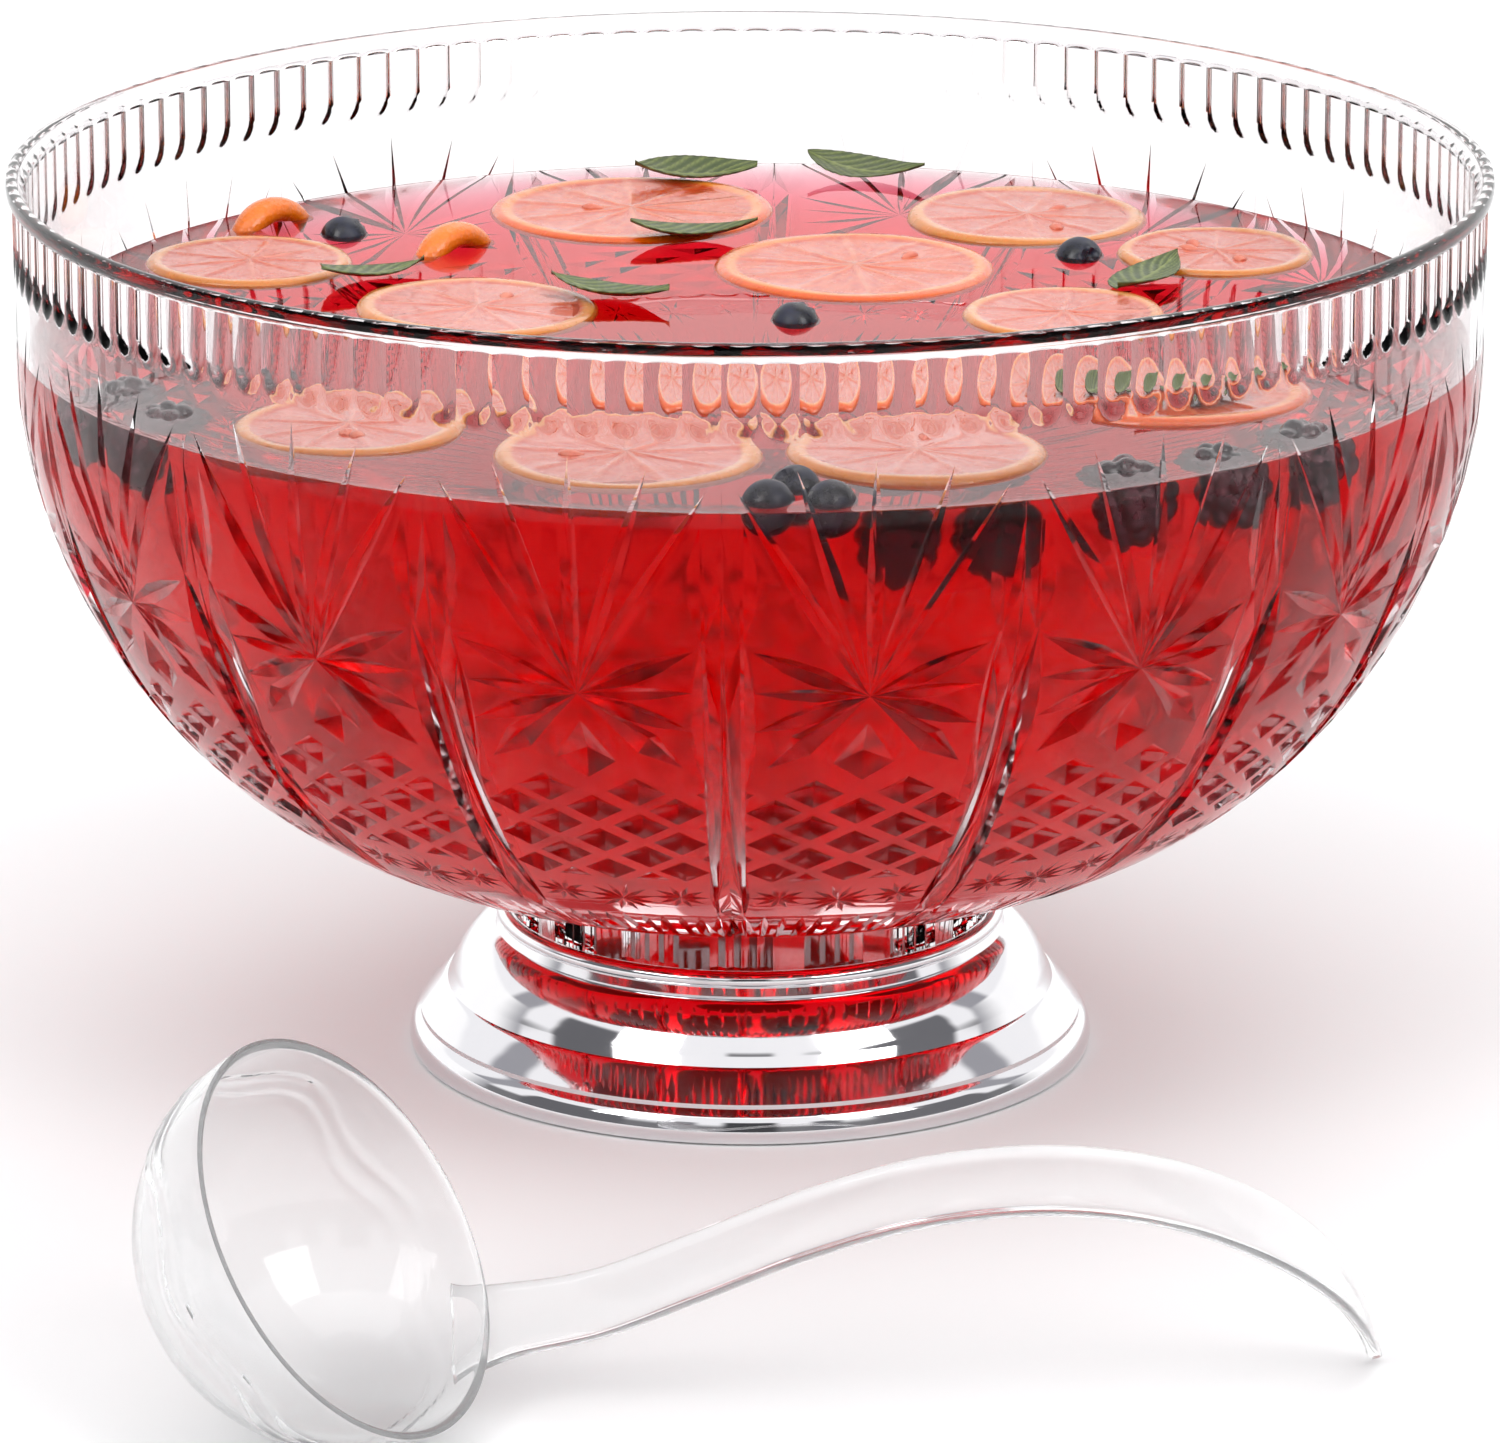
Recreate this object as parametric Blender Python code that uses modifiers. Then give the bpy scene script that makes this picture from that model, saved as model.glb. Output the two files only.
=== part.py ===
"""Punch bowl on a plated pedestal, filled with punch and floating fruit, with its serving ladle.

Metres, +Z up. The origin is the bowl's axis at the table, on the underside of the felt pad.
The front is -Y. The ladle lies on the table in front of the bowl.
"""
import math

import bmesh
import bpy
from mathutils import Matrix, Vector

MM = 0.001
GAP = 0.3 * MM  # clearance between touching pieces
MERGE = 0.02 * MM

# Bowl: the wall follows r = R * (1 - ((depth - equator) / drop) ** N) ** (1 / M) below its equator.
OVERALL_HEIGHT = 220 * MM
LIP_RADIUS = 178 * MM
WALL_RADIUS = 176.5 * MM
FLUTE_RADIUS = 175.6 * MM
WALL = 3.2 * MM
EQUATOR_DEPTH = 45.8 * MM
OUTER_DROP = 130 * MM
DEPTH_POWER = 1.703
RADIUS_POWER = 3.037
LIP_HEIGHT = 3.5 * MM
FLUTE_BAND = 20 * MM
FOOT_RADIUS = 58 * MM
FOOT_WALL = 5 * MM
FOOT_BOTTOM = 33.3 * MM
BOWL_STEPS = 40

# Pedestal: a plated shell with a felt pad under it.
PAD_RADIUS = 78 * MM
PAD_THICKNESS = 1.5 * MM
PLATE_THICKNESS = 2 * MM
SHELL_WALL = 1.4 * MM
DECK_HEIGHT = 33 * MM
BEAD_HEIGHT = 34 * MM
BEAD_RADIUS = 2.2 * MM
BEAD_CENTRE = 60.1 * MM
PEDESTAL_STEPS = 40

# Punch and what floats in it. Positions are in millimetres from the axis.
PUNCH_LEVEL = 180 * MM
SLICE_THICKNESS = 6 * MM
SLICE_RISE = 1.2 * MM  # how far a floating slice stands out of the punch
SLICE_SIDES = 16
ORANGE_SLICES = [(-30, 122, 36), (26, 60, 35), (0, -52, 33), (98, -62, 33)]
LEMON_SLICES = [
    (70, 115, 31), (116, 76, 25), (-124, 66, 26), (-66, 18, 30),
    (76, 12, 25), (-92, -94, 27), (-28, -120, 31), (38, -118, 30),
]
ORANGE_WEDGES = [(-121, 109, 48), (-74, 82, 50)]  # x, y, turn in degrees
WEDGE_SIZE = (30 * MM, 9 * MM, 14 * MM)
BLUEBERRY_RADIUS = 6.2 * MM
BLUEBERRIES = [(-102, 98), (82, 75), (11, 8), (4, -157), (18, -158), (10, -145)]
BRAMBLE_RADIUS = 10 * MM
FLOATING_BRAMBLES = [(84, -130), (106, -117), (126, -97), (-134, -80), (-146, -57)]
SUNK_BRAMBLES = [(31, -127), (53, -123)]  # these are held under a lemon slice
MINT_LEAVES = [
    (-14, 156, 10), (30, 158, -20), (-14, 90, 5), (-92, 48, 40),
    (-34, 26, -25), (99, 45, 60), (104, -72, 20),
]
LEAF_LENGTH = 32 * MM
LEAF_WIDTH = 16 * MM
LEAF_THICKNESS = 0.9 * MM

# Ladle, in its own frame: the cup opens along +Z and the handle is on the +X side.
CUP_RADIUS = 47 * MM
CUP_DEPTH = 45.5 * MM
CUP_WALL = 2.2 * MM
CUP_STEPS = 32
HANDLE_WIDTH = 18 * MM
HANDLE_ROOT_WIDTH = 27 * MM
HANDLE_TIP_WIDTH = 5 * MM
HANDLE_THICKNESS = 3.4 * MM
HANDLE_STATIONS = 20
# The handle's centre line in the ladle's X-Z plane, in millimetres from the rim's centre.
HANDLE_LINE = [
    (46, -9), (49.5, 3), (58, 22), (62, 46), (66, 75), (74, 101),
    (89, 123), (110, 138), (134, 145), (158, 145.5), (178, 140), (196, 131),
]
CUP_CENTRE = (-87.5 * MM, -276 * MM)
OPENING_DIRECTION = Vector((0.762, -0.363, 0.537))
HANDLE_SIDE = Vector((0.646, 0.487, -0.587))


def clear_scene():
    for obj in list(bpy.data.objects):
        bpy.data.objects.remove(obj, do_unlink=True)


def new_collection(name):
    collection = bpy.data.collections.new(name)
    bpy.context.scene.collection.children.link(collection)
    return collection


def material(name, color, roughness, metallic=0.0, alpha=1.0):
    mat = bpy.data.materials.new(name)
    mat.use_nodes = True
    shader = mat.node_tree.nodes["Principled BSDF"]
    shader.inputs["Base Color"].default_value = (*color, 1.0)
    shader.inputs["Roughness"].default_value = roughness
    shader.inputs["Metallic"].default_value = metallic
    shader.inputs["Alpha"].default_value = alpha
    return mat


def object_from_bmesh(bm, name, collection, mat=None):
    mesh = bpy.data.meshes.new(name)
    bm.to_mesh(mesh)
    bm.free()
    obj = bpy.data.objects.new(name, mesh)
    collection.objects.link(obj)
    if mat:
        mesh.materials.append(mat)
        mesh.shade_smooth()
        mesh.set_sharp_from_angle(angle=math.radians(35))
    return obj


def turned(profile, steps, name, collection, mat=None):
    """A solid turned about Z from a profile at +X that runs down its outer side."""
    bm = bmesh.new()
    points = [bm.verts.new((radius, 0, height)) for radius, height in profile]
    for first, second in zip(points, points[1:]):
        bm.edges.new((first, second))
    obj = object_from_bmesh(bm, name, collection, mat)
    screw = obj.modifiers.new("turn", "SCREW")
    screw.steps = steps
    screw.render_steps = steps
    screw.use_merge_vertices = True
    screw.merge_threshold = MERGE
    screw.use_smooth_shade = True
    return obj


def as_cutter(obj):
    obj.hide_render = True
    obj.display_type = "WIRE"
    return obj


def cut(target, cutter):
    boolean = target.modifiers.new("cut_" + cutter.name, "BOOLEAN")
    boolean.operation = "DIFFERENCE"
    boolean.object = as_cutter(cutter)


def wall_line(radius, drop, depth_from, depth_to, count):
    """Points (radius, height) down a bowl wall, between two depths below the rim."""
    points = []
    for i in range(count):
        # Even steps in angle put more points where the wall curves in at the bottom.
        share = math.sin(0.5 * math.pi * i / (count - 1))
        depth = depth_from + (depth_to - depth_from) * share
        below = max(0.0, depth - EQUATOR_DEPTH) / drop
        r = radius * (1 - min(1.0, below) ** DEPTH_POWER) ** (1 / RADIUS_POWER)
        points.append((r, OVERALL_HEIGHT - depth))
    return points


def inner_wall(depth_from, gap=0.0, count=13):
    radius = WALL_RADIUS - WALL - gap
    drop = OUTER_DROP - WALL - gap
    return wall_line(radius, drop, depth_from, EQUATOR_DEPTH + drop, count)


def make_bowl(collection):
    clear = material("clear_moulded_plastic", (0.95, 0.96, 0.97), 0.05, alpha=0.3)
    top = OVERALL_HEIGHT
    inside = list(reversed(inner_wall(EQUATOR_DEPTH - 8 * MM)))
    lip = [
        (LIP_RADIUS - WALL, top - LIP_HEIGHT), (LIP_RADIUS - WALL + 0.4 * MM, top),
        (LIP_RADIUS - 0.8 * MM, top), (LIP_RADIUS, top - 0.8 * MM),
        (LIP_RADIUS, top - LIP_HEIGHT), (FLUTE_RADIUS, top - LIP_HEIGHT - 1.5 * MM),
        (FLUTE_RADIUS, top - FLUTE_BAND),
    ]
    foot_top = 47.1 * MM
    bottom_depth = OVERALL_HEIGHT - foot_top - 0.4 * MM
    outside = wall_line(WALL_RADIUS, OUTER_DROP, EQUATOR_DEPTH - 20 * MM, bottom_depth, 13)
    underside = foot_top - 2.8 * MM
    foot = [
        (FOOT_RADIUS, foot_top - 1.5 * MM), (FOOT_RADIUS, FOOT_BOTTOM),
        (FOOT_RADIUS - FOOT_WALL, FOOT_BOTTOM), (FOOT_RADIUS - FOOT_WALL, underside), (0, underside),
    ]
    return turned(inside + lip + outside + foot, BOWL_STEPS, "bowl_shell", collection, clear)


def make_punch(collection, cutters):
    red = material("red_punch", (0.72, 0.01, 0.03), 0.05, alpha=0.85)
    depth = OVERALL_HEIGHT - PUNCH_LEVEL
    profile = [(0, PUNCH_LEVEL)] + inner_wall(depth, GAP)
    profile[-1] = (0, profile[-1][1])
    punch = turned(profile, BOWL_STEPS, "punch", collection, red)
    for cutter in cutters:
        cut(punch, cutter)
    return punch


def disc(name, collection, x, y, radius, low, high, mat=None):
    bm = bmesh.new()
    bmesh.ops.create_cone(bm, cap_ends=True, segments=SLICE_SIDES, radius1=radius, radius2=radius,
                          depth=high - low)
    obj = object_from_bmesh(bm, name, collection, mat)
    obj.location = (x * MM, y * MM, 0.5 * (low + high))
    return obj


def berry(name, collection, x, y, z, radius, mat=None):
    bm = bmesh.new()
    bmesh.ops.create_icosphere(bm, subdivisions=2, radius=radius)
    obj = object_from_bmesh(bm, name, collection, mat)
    obj.location = (x * MM, y * MM, z)
    return obj


def wedge(name, collection, x, y, turn, grow=0.0, mat=None):
    """A cut orange wedge floating with its peel up: a half disc standing on its flat side."""
    length, thickness, height = WEDGE_SIZE
    bm = bmesh.new()
    bmesh.ops.create_cone(bm, cap_ends=True, segments=SLICE_SIDES, radius1=1, radius2=1, depth=1,
                          matrix=Matrix.Rotation(math.pi / 2, 4, "X"))
    bmesh.ops.scale(bm, verts=bm.verts, vec=(length / 2 + grow, thickness + 2 * grow, height + grow))
    low = -grow
    cut_plane = bmesh.ops.bisect_plane(bm, geom=bm.verts[:] + bm.edges[:] + bm.faces[:],
                                       plane_co=(0, 0, low), plane_no=(0, 0, -1), clear_outer=True)
    rim = [item for item in cut_plane["geom_cut"] if isinstance(item, bmesh.types.BMEdge)]
    bmesh.ops.edgeloop_fill(bm, edges=rim)
    bmesh.ops.recalc_face_normals(bm, faces=bm.faces)
    obj = object_from_bmesh(bm, name, collection, mat)
    obj.location = (x * MM, y * MM, PUNCH_LEVEL - 0.55 * height)
    obj.rotation_euler.z = math.radians(turn)
    return obj


def make_slices(group, kind, places, mat, cutters):
    high = PUNCH_LEVEL + SLICE_RISE
    low = high - SLICE_THICKNESS
    pockets = []
    for i, (x, y, radius) in enumerate(places, 1):
        name = f"{kind}_slice_{i}"
        disc(name, group, x, y, radius * MM, low, high, mat)
        pockets.append(disc(name + "_pocket", cutters, x, y, radius * MM + GAP, low - GAP, high + MM))
    return pockets


def make_wedges(group, mat, cutters):
    pockets = []
    for i, (x, y, turn) in enumerate(ORANGE_WEDGES, 1):
        name = f"orange_wedge_{i}"
        wedge(name, group, x, y, turn, mat=mat)
        pockets.append(wedge(name + "_pocket", cutters, x, y, turn, GAP))
    return pockets


def make_berries(group, kind, places, radius, depth, mat, cutters, first=1):
    """Berries whose centres lie at one depth under the punch's surface."""
    pockets = []
    for i, (x, y) in enumerate(places, first):
        name = f"{kind}_{i}"
        berry(name, group, x, y, PUNCH_LEVEL - depth, radius, mat)
        pockets.append(berry(name + "_pocket", cutters, x, y, PUNCH_LEVEL - depth, radius + 2 * GAP))
    return pockets


def make_leaves(group, mat):
    """Pointed oval leaves lying on the slices, clear of them by a small gap."""
    low = PUNCH_LEVEL + SLICE_RISE + 2 * GAP
    for i, (x, y, turn) in enumerate(MINT_LEAVES, 1):
        curve = bpy.data.curves.new(f"mint_leaf_{i}", "CURVE")
        curve.dimensions = "2D"
        curve.fill_mode = "BOTH"
        curve.extrude = LEAF_THICKNESS / 2
        outline = curve.splines.new("POLY")
        count = 14
        outline.points.add(count - 1)
        for n, point in enumerate(outline.points):
            angle = 2 * math.pi * n / count
            half = 0.5 * LEAF_WIDTH * math.sin(angle) * (1 - 0.35 * math.cos(angle))
            point.co = (0.5 * LEAF_LENGTH * math.cos(angle), half, 0, 1)
        outline.use_cyclic_u = True
        obj = bpy.data.objects.new(curve.name, curve)
        curve.materials.append(mat)
        group.objects.link(obj)
        obj.location = (x * MM, y * MM, low + LEAF_THICKNESS / 2)
        obj.rotation_euler.z = math.radians(turn)


def make_fruit(group, cutters):
    orange = material("orange_flesh", (0.95, 0.35, 0.12), 0.3)
    lemon = material("lemon_flesh", (0.93, 0.55, 0.42), 0.3)
    blue = material("blueberry_skin", (0.03, 0.04, 0.09), 0.4)
    black = material("bramble_skin", (0.05, 0.01, 0.015), 0.3)
    green = material("mint_green", (0.12, 0.16, 0.06), 0.5)
    sunk_depth = SLICE_THICKNESS - SLICE_RISE + GAP + BRAMBLE_RADIUS
    pockets = make_slices(group, "orange", ORANGE_SLICES, orange, cutters)
    pockets += make_slices(group, "lemon", LEMON_SLICES, lemon, cutters)
    pockets += make_wedges(group, orange, cutters)
    pockets += make_berries(group, "blueberry", BLUEBERRIES, BLUEBERRY_RADIUS, 2 * MM, blue, cutters)
    pockets += make_berries(group, "bramble_berry", FLOATING_BRAMBLES, BRAMBLE_RADIUS, 7.5 * MM,
                            black, cutters)
    pockets += make_berries(group, "bramble_berry", SUNK_BRAMBLES, BRAMBLE_RADIUS, sunk_depth,
                            black, cutters, first=len(FLOATING_BRAMBLES) + 1)
    make_leaves(group, green)
    return pockets


def pedestal_outline():
    """The shell's outer face from the deck's centre, over the bead, down to the base."""
    bead = []
    for i in range(7):
        angle = math.radians(150 - 40 * i)
        bead.append((BEAD_CENTRE + BEAD_RADIUS * math.cos(angle),
                     BEAD_HEIGHT + BEAD_RADIUS * math.sin(angle)))
    deck = [(0, DECK_HEIGHT), (FOOT_RADIUS + GAP, DECK_HEIGHT)]
    flank_in_mm = [
        (62.5, 30.6), (65.6, 29.2), (68.3, 26.9), (70.7, 23.9), (72.3, 21), (73.2, 18.9),
        (74.3, 18.0), (74.3, 16.7), (75.4, 15.9), (78.6, 12.4), (81.0, 9.6), (81.0, 8.5),
        (82.6, 6.8), (83.4, 5), (83.8, 2.6), (83.3, 0.6),
    ]
    return deck + bead[:6] + [(r * MM, z * MM) for r, z in flank_in_mm]


def make_pedestal(collection):
    chrome = material("bright_plating", (0.86, 0.86, 0.87), 0.06, metallic=1.0)
    inside_in_mm = [
        (81.6, 0.6), (81.6, 5), (79, 8), (72.6, 15), (70.6, 21), (66, 26.6), (58, 28.6),
    ]
    inside = [(r * MM, z * MM) for r, z in inside_in_mm]
    floor = [(FOOT_RADIUS - FOOT_WALL, DECK_HEIGHT - SHELL_WALL), (0, DECK_HEIGHT - SHELL_WALL)]
    return turned(pedestal_outline() + inside + floor, PEDESTAL_STEPS, "pedestal_shell",
                  collection, chrome)


def round_plate(name, collection, radius, low, high, mat):
    profile = [(0, high), (radius, high), (radius, low), (0, low)]
    return turned(profile, PEDESTAL_STEPS, name, collection, mat)


def make_base(collection):
    grey = material("closing_plate", (0.55, 0.55, 0.56), 0.5)
    felt = material("dark_felt", (0.06, 0.06, 0.07), 0.95)
    round_plate("base_plate", collection, 81.2 * MM, PAD_THICKNESS + GAP,
                PAD_THICKNESS + GAP + PLATE_THICKNESS, grey)
    round_plate("felt_pad", collection, PAD_RADIUS, 0, PAD_THICKNESS, felt)


def spline_point(points, share):
    """A point on a smooth curve through the points (Catmull-Rom), at a share of its length."""
    spans = len(points) - 1
    place = min(share * spans, spans - 1e-9)
    n = int(place)
    t = place - n
    p0 = Vector(points[max(n - 1, 0)])
    p1, p2 = Vector(points[n]), Vector(points[n + 1])
    p3 = Vector(points[min(n + 2, spans)])
    return 0.5 * (2 * p1 + (p2 - p0) * t + (2 * p0 - 5 * p1 + 4 * p2 - p3) * t ** 2
                  + (3 * p1 - p0 - 3 * p2 + p3) * t ** 3)


def handle_width(share):
    root = max(0.0, 1 - share / 0.16) ** 2
    tip = max(0.0, (share - 0.72) / 0.28) ** 2
    return HANDLE_WIDTH + (HANDLE_ROOT_WIDTH - HANDLE_WIDTH) * root \
        - (HANDLE_WIDTH - HANDLE_TIP_WIDTH) * tip


def make_handle(collection):
    """A flat strap lofted along the handle's line, narrowing to its hooked tip."""
    bm = bmesh.new()
    rings = []
    for i in range(HANDLE_STATIONS + 1):
        share = i / HANDLE_STATIONS
        here = spline_point(HANDLE_LINE, share) * MM
        ahead = spline_point(HANDLE_LINE, min(1, share + 0.01))
        behind = spline_point(HANDLE_LINE, max(0, share - 0.01))
        along = (ahead - behind).normalized()
        out = Vector((along.y, -along.x))
        half_width, half_thickness = handle_width(share) / 2, HANDLE_THICKNESS / 2
        chamfer = 0.45 * half_thickness
        ring = []
        for side, lift in ((-1, -1), (1, -1), (1, 1), (-1, 1)):
            corners = [(half_width - chamfer, half_thickness), (half_width, half_thickness - chamfer)]
            if side == lift:
                corners.reverse()
            for across, up in corners:
                place = here + out * up * lift
                ring.append(bm.verts.new((place.x, across * side, place.y)))
        rings.append(ring)
    for ring, following in zip(rings, rings[1:]):
        for n in range(len(ring)):
            m = (n + 1) % len(ring)
            bm.faces.new((ring[n], ring[m], following[m], following[n]))
    bm.faces.new(list(reversed(rings[0])))
    bm.faces.new(rings[-1])
    bmesh.ops.recalc_face_normals(bm, faces=bm.faces)
    return as_cutter(object_from_bmesh(bm, "ladle_handle_blank", collection))


def cup_profile():
    """The cup's section: up the inside from the bottom, over the rim and down the outside."""
    def quarter(radius, depth, count):
        turns = [0.5 * math.pi * i / count for i in range(1, count + 1)]
        return [(radius * math.sin(t), -depth * math.cos(t)) for t in turns]
    inner_radius, inner_depth = CUP_RADIUS - CUP_WALL, CUP_DEPTH - CUP_WALL
    inside = [(0, -inner_depth)] + quarter(inner_radius, inner_depth, 7)
    outside = list(reversed(quarter(CUP_RADIUS, CUP_DEPTH, 7))) + [(0, -CUP_DEPTH)]
    rim = [(inner_radius + 0.5 * MM, 0.6 * MM), (CUP_RADIUS - 0.5 * MM, 0.6 * MM)]
    return inside + rim + outside


def lowest_point(obj):
    depsgraph = bpy.context.evaluated_depsgraph_get()
    evaluated = obj.evaluated_get(depsgraph)
    mesh = evaluated.to_mesh()
    low = min((evaluated.matrix_world @ vert.co).z for vert in mesh.vertices)
    evaluated.to_mesh_clear()
    return low


def make_ladle(collection, cutters):
    clear = material("clear_ladle_plastic", (0.93, 0.94, 0.95), 0.06, alpha=0.3)
    ladle = turned(cup_profile(), CUP_STEPS, "ladle", collection, clear)
    handle = make_handle(cutters)
    join = ladle.modifiers.new("handle", "BOOLEAN")
    join.operation = "UNION"
    join.object = handle
    up = OPENING_DIRECTION.normalized()
    side = (HANDLE_SIDE - up * HANDLE_SIDE.dot(up)).normalized()
    turn = Matrix((side, up.cross(side), up)).transposed().to_4x4()
    for obj in (ladle, handle):
        obj.rotation_euler = turn.to_euler()
        obj.location = (*CUP_CENTRE, CUP_RADIUS)
    bpy.context.view_layer.update()
    drop = lowest_point(ladle)
    for obj in (ladle, handle):
        obj.location.z -= drop
    return ladle


def build():
    clear_scene()
    parts = new_collection("punch_bowl")
    cutters = new_collection("cutters")
    make_base(parts)
    make_pedestal(parts)
    make_bowl(parts)
    pockets = make_fruit(parts, cutters)
    make_punch(parts, pockets)
    make_ladle(parts, cutters)


build()
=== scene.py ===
"""Looks of the punch bowl: the cut-pattern bowl, the punch, its fruit, the plated pedestal and the ladle.

Everything is in metres, in the CAD model's frame. The front is -Y.
"""
import math
import random

import bmesh
import bpy
import numpy as np
from mathutils import Matrix, Vector
from mathutils.geometry import delaunay_2d_cdt


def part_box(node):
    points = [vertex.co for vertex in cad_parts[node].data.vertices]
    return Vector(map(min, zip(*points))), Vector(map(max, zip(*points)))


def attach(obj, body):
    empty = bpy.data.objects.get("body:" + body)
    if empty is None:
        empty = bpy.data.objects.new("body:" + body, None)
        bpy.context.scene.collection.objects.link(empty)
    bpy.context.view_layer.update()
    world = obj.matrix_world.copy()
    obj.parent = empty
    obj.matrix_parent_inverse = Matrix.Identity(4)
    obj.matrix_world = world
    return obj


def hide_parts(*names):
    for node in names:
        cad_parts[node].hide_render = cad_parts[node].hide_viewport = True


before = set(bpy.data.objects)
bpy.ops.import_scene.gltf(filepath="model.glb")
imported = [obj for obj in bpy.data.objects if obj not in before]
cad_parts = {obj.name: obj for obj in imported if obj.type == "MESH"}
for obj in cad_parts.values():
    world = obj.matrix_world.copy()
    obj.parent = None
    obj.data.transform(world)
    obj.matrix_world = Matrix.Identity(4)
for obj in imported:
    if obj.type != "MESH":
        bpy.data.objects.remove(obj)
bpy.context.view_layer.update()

MM = 0.001
DEGREES = 180 / math.pi

# ---------------------------------------------------------------- the camera and the stage
CAMERA_DISTANCE = 2.10
CAMERA_HEIGHT = 0.702
CAMERA_PITCH = math.radians(16.48)
CAMERA_LENS = 215.4
FLOOR_HALF = 6.0
HORIZON_TONE, SKY_TONE = (0.22, 0.22, 0.23, 1), (1.08, 1.08, 1.10, 1)
SKY_RAMP = (9, 18)  # degrees of elevation over which the one turns into the other
# Azimuth and elevation in degrees from the front, half width, half height, and tone.
DIM_BAYS = (
    (0, 12, 9, 14, 0.07), (-62, 14, 20, 18, 0.16), (64, 14, 22, 18, 0.18), (26, 10, 5, 14, 0.2),
    (-24, 10, 6, 12, 0.25), (105, 30, 7, 28, 0.4), (-105, 30, 7, 28, 0.4),
)
BRIGHT_WINDOWS = (
    (-42, 36, 13, 15, 5.0), (44, 38, 15, 15, 5.0), (0, 62, 60, 12, 2.0), (180, 50, 50, 18, 1.8),
)
BACK_PANEL_START, BACK_PANEL_TOP, BACK_PANEL_TONE = (95, 115), (20, 23), (1.25, 1.25, 1.25, 1)

# ---------------------------------------------------------------- the bowl's wall, as the CAD has it
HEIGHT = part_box("bowl_shell")[1][2]
LIP_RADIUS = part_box("bowl_shell")[1][0]
WALL_RADIUS = LIP_RADIUS - 1.5 * MM
FLUTE_RADIUS = LIP_RADIUS - 2.4 * MM
WALL = 3.2 * MM
EQUATOR_DEPTH = 45.8 * MM
OUTER_DROP = 130 * MM
DEPTH_POWER = 1.703
RADIUS_POWER = 3.037
FOOT_RADIUS = 58 * MM
FOOT_WALL = 5 * MM
FOOT_TOP = 47.1 * MM
FOOT_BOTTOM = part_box("bowl_shell")[0][2]
PUNCH_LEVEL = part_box("punch")[1][2]

# ---------------------------------------------------------------- what the bowl and the drink are like
PLASTIC_IOR, DRINK_IOR = 1.49, 1.333
# The rim tint is painted shade: it makes the bowl's wall above the punch darker and rosier.
BOWL_TINT, RIM_PAINTED_SHADE_TINT = (0.975, 0.978, 0.985, 1.0), (0.82, 0.76, 0.765, 1.0)
LADLE_TINT = (0.96, 0.965, 0.97, 1.0)
DRINK_COLOUR, DRINK_DENSITY = (0.95, 0.0, 0.2, 1.0), 50.0
DRINK_GLOSS, DRINK_SIDE_ROUGHNESS = 0.1, 0.11
DRINK_OVERLAP = 0.2 * MM  # how far the drink reaches into the wall, so that no air is between them
MENISCUS_HEIGHT, MENISCUS_REACH = 0.5 * MM, 1.5 * MM

# ---------------------------------------------------------------- the cut pattern, repeated round the bowl
PANELS = 16
HALF_PANEL = 180 / PANELS  # degrees from a panel's centre to its divider
FIRST_PANEL = 9.19  # degrees from the front to a panel's centre
FLUTES = 128
FLUTE_COLUMNS = 8
FLUTE_TOP = 4.6
FLUTE_END = 23.0
DEGREE = 2.9  # millimetres of pattern width for a degree, at the height of the stars
CUT_SLOPE = 0.62
RIBBON_DEPTH = 0.18
FLUTE_DEPTH, FLUTE_FOOT, FLUTE_ARCH, FLUTE_RUN_OUT = 1.3, 21.6, 4.5, 2.6
GRID_ROWS, GRID_COLUMNS, GRID_ROOM = 44, 8, 1.2  # plain points between the cuts, and their room
INNER_RINGS, INNER_TOP = 33, 3.0 * MM
SCALLOP_PITCH, SCALLOP_DEPTH = 3.75, 1.3 * MM
PATTERN_SHARP, FLUTE_SHARP = 10.0, 42.0  # edges sharper than this many degrees stay crisp


def in_scene(name, data):
    obj = bpy.data.objects.new(name, data)
    bpy.context.scene.collection.objects.link(obj)
    return obj


def nodes_named(start):
    return sorted(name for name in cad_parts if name.startswith(start))


def mesh_object(name, verts, faces, smooth_angle=30.0, merge=0.0, angle_at=None):
    """A smooth-shaded mesh object whose edges sharper than the angle stay crisp.

    angle_at gives the angle in degrees for an edge's middle, where it differs over the piece.
    """
    mesh = bpy.data.meshes.new(name)
    mesh.from_pydata([tuple(v) for v in verts], [], faces)
    bm = bmesh.new()
    bm.from_mesh(mesh)
    if merge:
        bmesh.ops.remove_doubles(bm, verts=bm.verts, dist=merge)
    bmesh.ops.recalc_face_normals(bm, faces=bm.faces)
    for face in bm.faces:
        face.smooth = True
    for edge in bm.edges:
        limit = angle_at(edge.verts[0].co.lerp(edge.verts[1].co, 0.5)) if angle_at else smooth_angle
        edge.smooth = edge.calc_face_angle(0.0) < math.radians(limit)
    bm.to_mesh(mesh)
    bm.free()
    return in_scene(name, mesh)


def finish_piece(obj, body, node, slot, mat):
    obj.data.materials.clear()
    obj.data.materials.append(mat)
    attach(obj, body)
    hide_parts(node)
    return obj


def ring_grid(rings, columns, closed_start=False, closed_end=False):
    """Vertices and faces of a grid of rings, each a function from an angle in radians to a point."""
    verts, faces = [], []
    for ring in rings:
        verts += [ring(2 * math.pi * c / columns) for c in range(columns)]
    for r in range(len(rings) - 1):
        for c in range(columns):
            d = (c + 1) % columns
            faces.append((r * columns + c, r * columns + d, (r + 1) * columns + d, (r + 1) * columns + c))
    if closed_start:
        faces.append(tuple(range(columns)))
    if closed_end:
        last = (len(rings) - 1) * columns
        faces.append(tuple(reversed(range(last, last + columns))))
    return verts, faces


def around(radius, height, angle):
    return (radius * math.sin(angle), -radius * math.cos(angle), height)


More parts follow.
